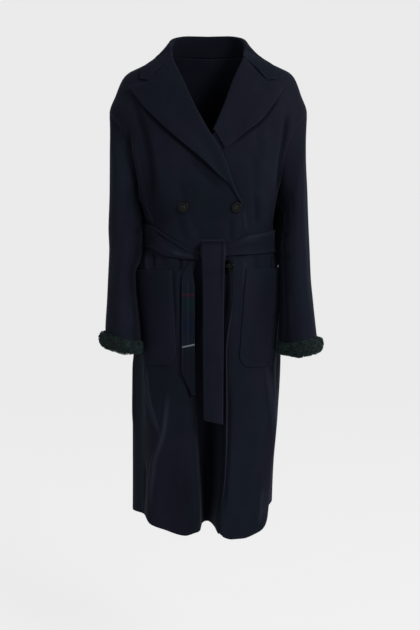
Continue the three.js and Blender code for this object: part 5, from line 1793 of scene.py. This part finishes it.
# Name, place, what it points at, its size and its power.
LIGHTS = (
    ("key_light", (2.2, -2.9, 1.5), (0, 0, -0.5), 1.3, 142),
    ("fill_light", (-2.2, -3.0, 0.2), (0, 0, -0.6), 1.8, 28),
    ("side_light", (2.7, -0.2, 0.4), (0.1, 0, -0.6), 1.2, 34),
)


def add_light(name, place, aim, size, power):
    data = bpy.data.lights.new(name, "AREA")
    data.shape, data.size, data.energy = "SQUARE", size, power
    lamp = bpy.data.objects.new(name, data)
    bpy.context.scene.collection.objects.link(lamp)
    lamp.location = place
    lamp.rotation_euler = (Vector(aim) - Vector(place)).to_track_quat("-Z", "Y").to_euler()


def pick_edges(mesh, wanted):
    """Selects the edges both of whose ends pass a test of place, in edit mode."""
    bpy.ops.mesh.select_all(action="DESELECT")
    shape = bmesh.from_edit_mesh(mesh)
    for edge in shape.edges:
        edge.select_set(all(wanted(vertex.co) for vertex in edge.verts))
    bmesh.update_edit_mesh(mesh)


def sweep(stage):
    """A floor that curves up into a backdrop."""
    only_nothing()
    bpy.ops.mesh.primitive_plane_add(size=1, location=(0, 0, stage.floor_height))
    paper = bpy.context.object
    paper.name = paper.data.name = "studio_sweep"
    paper.data.transform(Matrix.Diagonal((30, 16, 1, 1)))
    bpy.ops.object.transform_apply(location=True)
    bpy.ops.object.mode_set(mode="EDIT")
    pick_edges(paper.data, lambda place: place.y > 1)
    bpy.ops.mesh.extrude_region_move(TRANSFORM_OT_translate={"value": (0, 0, 12)})
    pick_edges(paper.data, lambda place: place.y > 1 and place.z < stage.floor_height + 0.01)
    bpy.ops.mesh.bevel(offset=3, segments=16, affect="EDGES")
    bpy.ops.object.mode_set(mode="OBJECT")
    bpy.ops.object.shade_smooth()
    paper.data.materials.append(made("studio_paper", paper_material, stage))


class COAT_PT_sidebar(bpy.types.Panel):
    """Sizes, colours and steps of the coat"""

    bl_idname = "COAT_PT_sidebar"
    bl_label = "Wool coat"
    bl_space_type = "VIEW_3D"
    bl_region_type = "UI"
    bl_category = "Coat"

    def draw(self, context):
        layout = self.layout
        for name, group in SETTINGS.items():
            box = layout.box()
            box.label(text=group.__doc__)
            for prop in group.__annotations__:
                box.prop(getattr(context.scene, name), prop)
        for step in STEPS:
            layout.operator(step.bl_idname)


STEPS = (COAT_OT_stage, COAT_OT_body, COAT_OT_lapels, COAT_OT_collar, COAT_OT_sleeves,
         COAT_OT_pockets, COAT_OT_belt, COAT_OT_cuffs, COAT_OT_buttons)


def register():
    for kind in (*SETTINGS.values(), *STEPS, COAT_PT_sidebar):
        bpy.utils.register_class(kind)
    for name, group in SETTINGS.items():
        setattr(bpy.types.Scene, name, bpy.props.PointerProperty(type=group))


def unregister():
    for name in SETTINGS:
        delattr(bpy.types.Scene, name)
    for kind in (COAT_PT_sidebar, *STEPS, *SETTINGS.values()):
        bpy.utils.unregister_class(kind)


def main():
    register()
    for step in STEPS:
        group, action = step.bl_idname.split(".")
        getattr(getattr(bpy.ops, group), action)()


if __name__ == "__main__":
    main()
